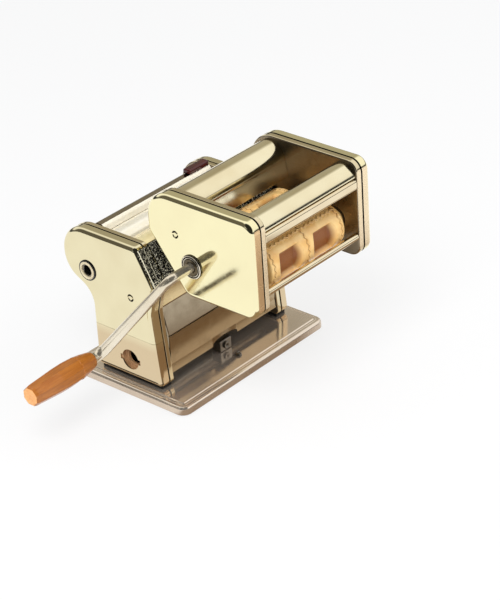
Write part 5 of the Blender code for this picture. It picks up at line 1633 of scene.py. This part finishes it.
@dataclass
class GuidesAndBars:
    """The curved guides over both forming rollers, and the bars that tie the cheeks together."""

    reach: float = 61.8
    wall: float = 1.2
    level: float = 207.1
    rear: tuple[float, float] = (-50.556, 17.0)
    front: tuple[float, float] = (-134.4, 14.5)
    front_end: float = 166
    throat: float = 15.0
    skirt: float = 4.0
    lean: float = 12.0
    bar_front: float = -150.2
    bars: tuple[tuple[str, float, float], ...] = (("upper", 183.4, 11), ("lower", 133.0, 7))
    cross: Rows = ((-61.8, 2.4, 0), (-61.8, 3.5, 0.3), (-59.6, 3.5, 0.2), (-59.2, 4, 0.3), (59.2, 4, 0.3),
                   (59.6, 3.5, 0.2), (61.8, 3.5, 0.3), (61.8, 2.4, 0))

    def bar(self, low: float, height: float) -> Patch:
        """A front bar: a flat section whose front is rounded off, with eased ends."""
        y = self.bar_front
        return prism(*rectangle((y, low), (y + 5, low + height), (3.2, 1.2, 1.2, 3.2), 5), -self.reach, self.reach, 0.6)

    def guide(self, middle: float, radius: float, end: float, before: Sequence[float],
              after: Sequence[float]) -> Patch:
        """A guide: the path centre + radius * (cos a, sin a) between straight lips, hemmed at both ends.

        Args:
            middle: Y of the curve's centre.
            radius: Radius of the curve.
            end: Angle where it ends, in degrees.
            before: Offset of the path's first point from the curve's start.
            after: Offset of the last point from its end, or zeros for no lip there.

        Returns:
            The guide's closed strip.
        """
        a = np.radians(np.linspace(0, end, 46))
        spokes = np.stack([np.cos(a), np.sin(a)], axis=-1)
        curve = np.array([middle, self.level - radius]) + radius * spokes
        first, last = curve[0] + before, curve[-1] + after
        path, normals = [first[None], curve], [unit(right_of(curve[0] - first))[None], spokes]
        if np.any(after):
            path.append(last[None])
            normals.append(unit(right_of(last - curve[-1]))[None])
        return hemmed_band(np.concatenate(path), np.concatenate(normals), 0, self.wall, self.reach)

    def build(self, bench: Bench) -> None:
        """Make both bars, the cross bar and both guides.

        Args:
            bench: Where pieces are made.
        """
        for word, low, height in self.bars:
            bench.piece(f"{word}_front_bar", self.bar(low, height), BAR_CHROME, 40)
        bench.piece("rear_cross_bar", turned(self.cross, (-41.38, 168.7)), ROD_STEEL)
        turn = np.radians(self.lean)
        back, ahead = self.throat * np.array([[-np.sin(turn), -np.cos(turn)], [np.sin(turn), -np.cos(turn)]])
        bench.piece("rear_dough_guide", self.guide(*self.rear, 180, (0.0, -self.skirt), back), GUIDE_CHROME, 30)
        bench.piece("front_dough_guide", self.guide(*self.front, self.front_end, ahead, (0, 0)), GUIDE_CHROME, 30)


@dataclass
class FormingRoller:
    """A forming roller as a height field over its length and its turn.

    The radius is the body, raised by zigzag ridges round both rows and along each cell's ends, and sunk
    where a square pocket's sloped walls and floor lie deeper.
    """

    axis: Array
    phase: float
    socket: bool
    body: float = 21.4
    ridge: float = 22.5
    half: float = 50.0
    cell: float = 46.0
    ring_waves: int = 24
    bar_waves: int = 16
    zigzag: float = 1.0
    ridge_half: float = 0.55
    ridge_flank: float = 0.45
    mouth: float = 33.0
    floor: float = 19.0
    depth: float = 7.5
    ease: float = 1.8
    x_steps: Rows = ((-50.0, 0.3), (-48.6, 0.16), (-43.6, 0.7), (-42.4, 0.55), (-2.4, 0.16), (2.4, 0.55), (43.6, 0.16),
                     (48.6, 0.3))
    bar_reach: float = 0.115
    bar_steps: tuple[float, float] = (0.0095, 0.033)
    right: Rows = ((66.5, 6.8, 0), (66.5, 8, 0.5), (61.2, 8, 0.2), (61.2, 10, 0.4), (50, 10, 0.4), (50, 18, 0))
    left: Rows = ((-50, 18, 0), (-50, 10, 0.4), (-61.2, 10, 0.4), (-61.2, 8, 0.2))
    socket_end: Rows = ((-61.2, 8, 0), (-82.2, 8, 0.4), (-82.2, 5.4, 0.2), (-81.6, 4.85, 0.2), (-61.2, 4.85, 0.3),
                        (-61.2, 4.0, 0))
    plain_end: Rows = ((-61.2, 8, 0), (-77.6, 8, 0.5), (-77.6, 6.8, 0))

    def ridges(self, x: Array, a: Array) -> Array:
        """Share of the ridge height: 1 within half a ridge of a zigzag line, falling to 0 beside it.

        Args:
            x: Places along the roller.
            a: Angles, from the first bar.

        Returns:
            The share at each place and angle.
        """
        saw = lambda turns: np.abs((turns % 1) * 4 - 2) - 1
        wave = self.zigzag * saw(a * self.ring_waves / TAU)
        rings = [np.abs(x - place - wave) for place in (-self.cell, 0.0, self.cell)]
        sector = (a + np.pi / 3) % (TAU / 3) - np.pi / 3
        side = self.body * sector - self.zigzag * saw((x + self.cell) / (2 * self.cell) * self.bar_waves)
        bars = np.where(np.abs(x) < self.cell, np.abs(side), np.hypot(side, np.abs(x) - self.cell))
        near = np.minimum.reduce(rings + [bars])
        share = np.clip((self.ridge_half + self.ridge_flank - near) / self.ridge_flank, 0, 1)
        return share * share * (3 - 2 * share)

    def pockets(self, x: Array, a: Array) -> Array:
        """Radius at which a spoke meets the pocket under it.

        The floor is (body - depth) / cos b for the angle b from the pocket's middle, and each sloped wall
        gives k / (slope * cos b - |sin b|) round the roller and its like along it.

        Args:
            x: Places along the roller.
            a: Angles, from the first bar.

        Returns:
            The radius at each place and angle.
        """
        b = a % (TAU / 3) - np.pi / 3
        u = np.abs(np.abs(x) - self.cell / 2)
        slope = (self.mouth - self.floor) / 2 / self.depth
        base = self.body * slope - self.mouth / 2
        lean = slope * np.cos(b) - np.abs(np.sin(b))
        round_wall = np.where(lean > 0.05, base / np.maximum(lean, 0.05), 80.0)
        long_wall = (u + base) / (slope * np.cos(b))
        floor = (self.body - self.depth) / np.cos(b)
        walls = smooth_max(np.minimum(round_wall, 60), np.minimum(long_wall, 60), 0.9)
        return smooth_max(walls, floor, 0.45)

    def surface(self) -> Patch:
        """The roller with its collars, journals and, on the driven one, the crank's socket.

        Returns:
            The closed surface.
        """
        x = dense(self.x_steps, self.half)
        reach, (fine, coarse) = self.bar_reach, self.bar_steps
        third = dense([(-reach, fine), (reach, coarse)], TAU / 3 - reach)[:-1]
        thirds = np.concatenate([third + k * TAU / 3 for k in range(3)])
        grid_x, grid_a = np.meshgrid(x, thirds, indexing="ij")
        radius = self.body + (self.ridge - self.body) * self.ridges(grid_x, grid_a)
        radius = -smooth_max(-radius, -self.pockets(grid_x, grid_a), 0.12)
        edge = np.clip(np.abs(grid_x) - self.half + self.ease, 0, self.ease)
        radius = radius - (self.ease - np.sqrt(np.maximum(self.ease ** 2 - edge ** 2, 0)))
        radius = np.minimum(radius, self.ridge)
        tail = softened(self.socket_end if self.socket else self.plain_end)[1:]
        near, far = np.concatenate([softened(self.left), tail])[::-1], softened(self.right)[::-1]
        xs = np.concatenate([near[:, 0], x, far[:, 0]])
        radii = np.concatenate([np.repeat(near[:, 1:], len(thirds), 1), radius, np.repeat(far[:, 1:], len(thirds), 1)])
        return plugged(spun(xs, radii, self.axis, thirds + self.phase))

    def build(self, bench: Bench, node: str) -> None:
        """Make the roller and write how deep each point lies in its pocket, and 4 s (1 - s) of the ridge share s.

        Args:
            bench: Where pieces are made.
            node: The roller's CAD node.
        """
        thing = bench.piece(node, self.surface(), FORMING, 50, (DARK_STEEL, lambda p: p[:, 0] < -61.4), flat=False)
        places = bench_places(thing.data.vertices, "co")
        radius = np.linalg.norm(places[:, 1:] - self.axis, axis=1)
        inner = np.abs(places[:, 0]) < self.half - 1
        sunk = np.clip((self.body - 0.6 - radius) / (self.depth - 1.5), 0, 1) * inner
        turn = np.arctan2(places[:, 2] - self.axis[1], places[:, 1] - self.axis[0]) - self.phase
        rise = self.ridges(places[:, 0], turn)
        edge = 4 * rise * (1 - rise) * (sunk < 0.02) * inner
        # These attributes place the painted shade and reflection in the pockets and beside the ridges
        for name, values in (("pocket_depth", sunk), ("ridge_edge", edge)):
            layer = thing.data.attributes.new(name, "FLOAT", "POINT")
            layer.data.foreach_set("value", values.astype(np.float32))


@dataclass
class Crank:
    """The bent rod that plugs into the driven roller, and the turned handle on its end.

    The rod's stations are (way along it, radius), its seat is the X of more rings where the handle begins,
    and the handle's shares are (share of its length, share of its radius, corner radius).
    """

    tip: float = -65.2
    elbow: float = -110.0
    knee: float = -130.0
    end: float = -213.0
    bend: float = 11.0
    handle_start: float = -142.0
    handle_length: float = 77.0
    handle_radius: float = 12.0
    flats: int = 8
    neck: float = 19.0
    sides: int = 96
    stations: Rows = ((0, 3.7), (0.5, 4.4), (0.9, 4.5), (26, 4.5), (34, 4.6), (60, 4.6), (112, 5.1), (132, 5.2))
    seat: tuple[float, ...] = (141.0, 141.1, 142.3, 142.4)
    shares: Rows = ((0.0, 0.6, 0.6), (0.03, 0.67, 4.0), (0.14, 0.82, 20.0), (0.28, 0.95, 30.0), (0.42, 1.0, 40.0),
                    (0.58, 0.98, 40.0), (0.8, 0.89, 30.0), (0.955, 0.83, 4.0), (1.0, 0.74, 1.6))

    def rod(self) -> Patch:
        """A rod along tip, elbow, knee and spindle; its radius runs between the CAD's stations.

        Returns:
            The rod.
        """
        arm = HANDLE_AXIS - CRANK_AXIS
        reach = float(np.linalg.norm(arm))
        path = softened([(self.tip, 0, 0), (self.elbow, 0, self.bend), (self.knee, reach, self.bend),
                         (self.end, reach, 0)], False, 5)
        along = np.concatenate([[0], np.cumsum(np.linalg.norm(np.diff(path, axis=0), axis=1))])
        total = along[-1]
        seat = total + (np.array(self.seat) + self.end)
        at = np.unique(np.concatenate([along, np.linspace(0, total, 90),
                                       [0.001, 0.4, 0.8, total - 0.6, total - 0.3], seat]))
        at = at[(at >= 0) & (at <= total)]
        start = total - (self.handle_start - self.end)
        stops = np.array([*self.stations, (start - 1.3, 5.2), (start - 0.9, 4.6), (start - 0.35, 3.2),
                          (total - 0.5, 3.2), (total, 2.7)])
        out = arm / reach
        away = CRANK_AXIS + np.interp(at, along, path[:, 1])[:, None] * out
        route = np.concatenate([np.interp(at, along, path[:, 0])[:, None], away], axis=1)
        return tube(route, np.interp(at, *stops.T), np.array([0.0, -out[1], out[0]]), 40)

    def handle(self) -> Patch:
        """The handle: a round neck, then eight flats, r * cos(pi / 8) / cos(b), cut in over 0.8 mm.

        Returns:
            The handle.
        """
        outer = [(self.handle_start - u * self.handle_length, r * self.handle_radius, c) for u, r, c in self.shares]
        rows = softened([(-213.35, 2.9, 0), (-213.35, 3.55, 0.2), (self.handle_start, 3.55, 0.2), *outer,
                         (self.handle_start - self.handle_length, 6.4, 0)], step=4)
        step = self.handle_start - self.neck
        at = np.linspace(step - 1.2, step + 0.4, 5)[::-1]
        low = int(np.argmax((rows[:, 0] < step) & (rows[:, 1] > 5)))
        between = np.stack([at, np.interp(at, *rows[low - 1:low + 1][::-1].T)], axis=-1)
        rows = np.concatenate([rows[:low], between, rows[low:]])
        sector = TAU / self.flats
        b = (TAU * np.arange(self.sides) / self.sides + np.pi / self.flats) % sector - np.pi / self.flats
        flat = np.cos(np.pi / self.flats) / np.cos(b)
        share = np.clip((step - rows[:, 0]) / 0.8, 0, 1) * (rows[:, 1] > 4)
        return lathe(rows, HANDLE_AXIS, False, self.sides, 1 + share[:, None] * (flat[None] - 1))

    def build(self, bench: Bench) -> None:
        """Make the rod and the handle, which stays out of the chrome's reflections.

        Args:
            bench: Where pieces are made.
        """
        bench.piece("crank_rod", self.rod(), CRANK_CHROME, 40)
        # The end face is painted lighter, as a painted highlight
        end = lambda p: p[:, 0] < self.handle_start - self.handle_length + 0.3
        bench.piece("crank_handle", self.handle(), WOOD, 26, (END_FACE_HIGHLIGHT, end)).visible_glossy = False


# Floor, light and camera --------------------------------------------------------------------------


@dataclass
class Studio:
    """A plain pale floor, soft light and the camera at the photograph's angle.

    A flag is (direction, half angle, blur, colour) with its angles in degrees, a horizon stop is (place, grey),
    and a card limit is (where the card's share is 0, where it is 1) in metres along one of the floor's directions.
    """

    floor_size: float = 6.0
    camera_place: Triple = (-1.2902, -1.2726, 1.1151)
    azimuth: float = -47.33
    elevation: float = 29.61
    roll: float = -3.9
    lens: float = 138.83
    sky_light: float = 0.66
    card: Triple = (0.29, 0.195, 0.115)
    card_ahead: Triple = (0.735, -0.678, 0)
    card_aside: Triple = (0.678, 0.735, 0)
    ahead_limits: Rows = ((-0.022, -0.014), (0.4, 0.45))
    aside_limits: Rows = ((-0.26, -0.22), (0.05, 0.08))
    flags: tuple[tuple[Triple, float, float, Triple], ...] = (
        ((0.64, 0.59, 0.49), 16.0, 14.0, (0.42, 0.39, 0.31)),
        ((-0.58, -0.48, 0.62), 42.0, 8.0, (0.02, 0.02, 0.018)),
        ((-0.64, 0.59, 0.49), 24.0, 10.0, (0.12, 0.11, 0.09)))
    horizon: Rows = ((0.0, 0.9), (0.462, 0.9), (0.482, 0.03), (0.55, 0.03), (0.575, 0.3), (0.6, 0.95), (0.75, 1.0))
    lamps: tuple[tuple[str, Triple, float, float], ...] = (
        ("key_lamp", (-1.0, -0.5, 1.5), 0.9, 18), ("fill_lamp", (1.2, -1.3, 1.3), 1.2, 9))

    def camera(self) -> None:
        """Set the camera: its back axis from azimuth and elevation, then a roll about it."""
        a, e, r = np.radians([self.azimuth, self.elevation, self.roll])
        back = np.array([np.sin(a) * np.cos(e), -np.cos(a) * np.cos(e), np.sin(e)])
        right = np.array([np.cos(a), np.sin(a), 0])
        up = np.cross(back, right)
        columns = np.stack([np.cos(r) * right + np.sin(r) * up, -np.sin(r) * right + np.cos(r) * up, back], axis=-1)
        data = bpy.data.cameras.new("photo_camera")
        data.lens, data.sensor_fit, data.sensor_height, data.clip_end = self.lens, "VERTICAL", 36.0, 20.0
        holder = placed("photo_camera", data)
        holder.matrix_world = Matrix([[*columns[i], self.camera_place[i]] for i in range(3)] + [[0, 0, 0, 1]])
        bpy.context.scene.camera = holder

    def floor(self) -> None:
        """A white floor: part lit surface, part plain white, with a brown card at its right front in the chrome."""
        half = self.floor_size / 2
        mesh = bpy.data.meshes.new("studio_floor")
        mesh.from_pydata([(-half, -half, 0), (half, -half, 0), (half, half, 0), (-half, half, 0)], [], [(0, 1, 2, 3)])
        made = Recipe(bpy.data.materials.new("studio_floor"))
        made.feed(Base_Color=(0.92, 0.92, 0.92), Roughness=0.9, Specular_IOR_Level=0.1)
        paths = made.add("LightPath").outputs
        edges = []
        for direction, (start, end) in ((self.card_ahead, self.ahead_limits), (self.card_aside, self.aside_limits)):
            reach = made.toward(direction)
            edges += [made.spread(reach, *start), made.spread(reach, *end, 1, 0)]
        share = edges[0]
        for edge in edges[1:]:
            share = made.math("MULTIPLY", share, edge)
        shown = made.add("Emission", {"Color": (1, 1, 1), "Strength": 1.0}).outputs[0]
        brown = made.blend(share, (1.0, 1.0, 1.0), self.card)
        mirrored = made.add("Emission", {"Color": brown, "Strength": 1.0}).outputs[0]
        mixed = made.mixed(made.math("MULTIPLY", paths["Is Camera Ray"], 0.72), made.shader.outputs[0], shown)
        mixed = made.mixed(made.math("MULTIPLY", paths["Is Glossy Ray"], 0.98), mixed, mirrored)
        made.put(made.tree.nodes["Material Output"].inputs["Surface"], mixed)
        mesh.materials.append(made.owner)
        thing = placed("studio_floor", mesh)

    def sky(self) -> None:
        """White to the camera; in the chrome, white over a dark horizon, with a few dark flags hung in it.

        A flag's share is 1 inside its half angle and falls to 0 over its blur.
        """
        world = bpy.data.worlds.new("studio_sky")
        bpy.context.scene.world = world
        made = Recipe(world, "Background", "Generated")
        made.feed(Color=(0.98, 0.985, 1.0), Strength=self.sky_light)
        band = made.add("ValToRGB", {0: made.spread(made.axis("Z"), -1, 1)})
        while len(band.color_ramp.elements) < len(self.horizon):
            band.color_ramp.elements.new(0.5)
        for element, (place, grey) in zip(band.color_ramp.elements, self.horizon):
            element.position = place
            element.color = (grey, grey * 0.99, grey * 0.96, 1)
        colour = band.outputs[0]
        for direction, half_angle, blur, flag in self.flags:
            low, high = np.cos(np.radians([half_angle + blur, half_angle]))
            colour = made.over(colour, made.toward(unit(np.array(direction))), low, high, flag)
        mirror = made.add("Background", {"Color": colour}).outputs[0]
        white = made.add("Background", {"Color": (1, 1, 1)}).outputs[0]
        paths = made.add("LightPath").outputs
        mixed = made.mixed(paths["Is Glossy Ray"], made.shader.outputs[0], mirror)
        mixed = made.mixed(paths["Is Camera Ray"], mixed, white)
        made.put(made.tree.nodes["World Output"].inputs["Surface"], mixed)

    def build(self) -> None:
        """Set the view, the camera, the floor, the sky and two square lamps that face the machine."""
        bpy.context.scene.view_settings.view_transform = "Standard"
        self.camera()
        self.floor()
        self.sky()
        for name, place, size, power in self.lamps:
            data = bpy.data.lights.new(name, "AREA")
            data.size, data.energy = size, power
            thing = placed(name, data)
            thing.location = place
            thing.rotation_euler = (Vector((0, 0, 0.1)) - Vector(place)).to_track_quat("-Z", "Y").to_euler()
            thing.visible_glossy = False


def main() -> None:
    """Build every sub-assembly in order and report it."""
    logging.basicConfig(level=logging.INFO, format="%(message)s")
    slots = {part["node"]: part["material_slot"] for part in frame["record"].get("subparts", [])
             if part.get("material_slot")}
    bench = Bench(frame["nodes"], slots)
    cheeks = RollingCheeks()
    BaseTray().build(bench)
    cheeks.build(bench)
    Panels().build(bench, cheeks)
    SheetRollers().build(bench)
    Regulator().build(bench)
    Rails().build(bench, cheeks)
    RavioliCheeks().build(bench)
    GuidesAndBars().build(bench)
    FormingRoller(CRANK_AXIS, np.pi, True).build(bench, "rear_forming_roller")
    FormingRoller(IDLE_AXIS, 0.0, False).build(bench, "front_forming_roller")
    Crank().build(bench)
    Studio().build()
    log.info("not dressed: %s", sorted(set(bench.nodes) - set(bench.made)))


if __name__ == "__main__":
    main()
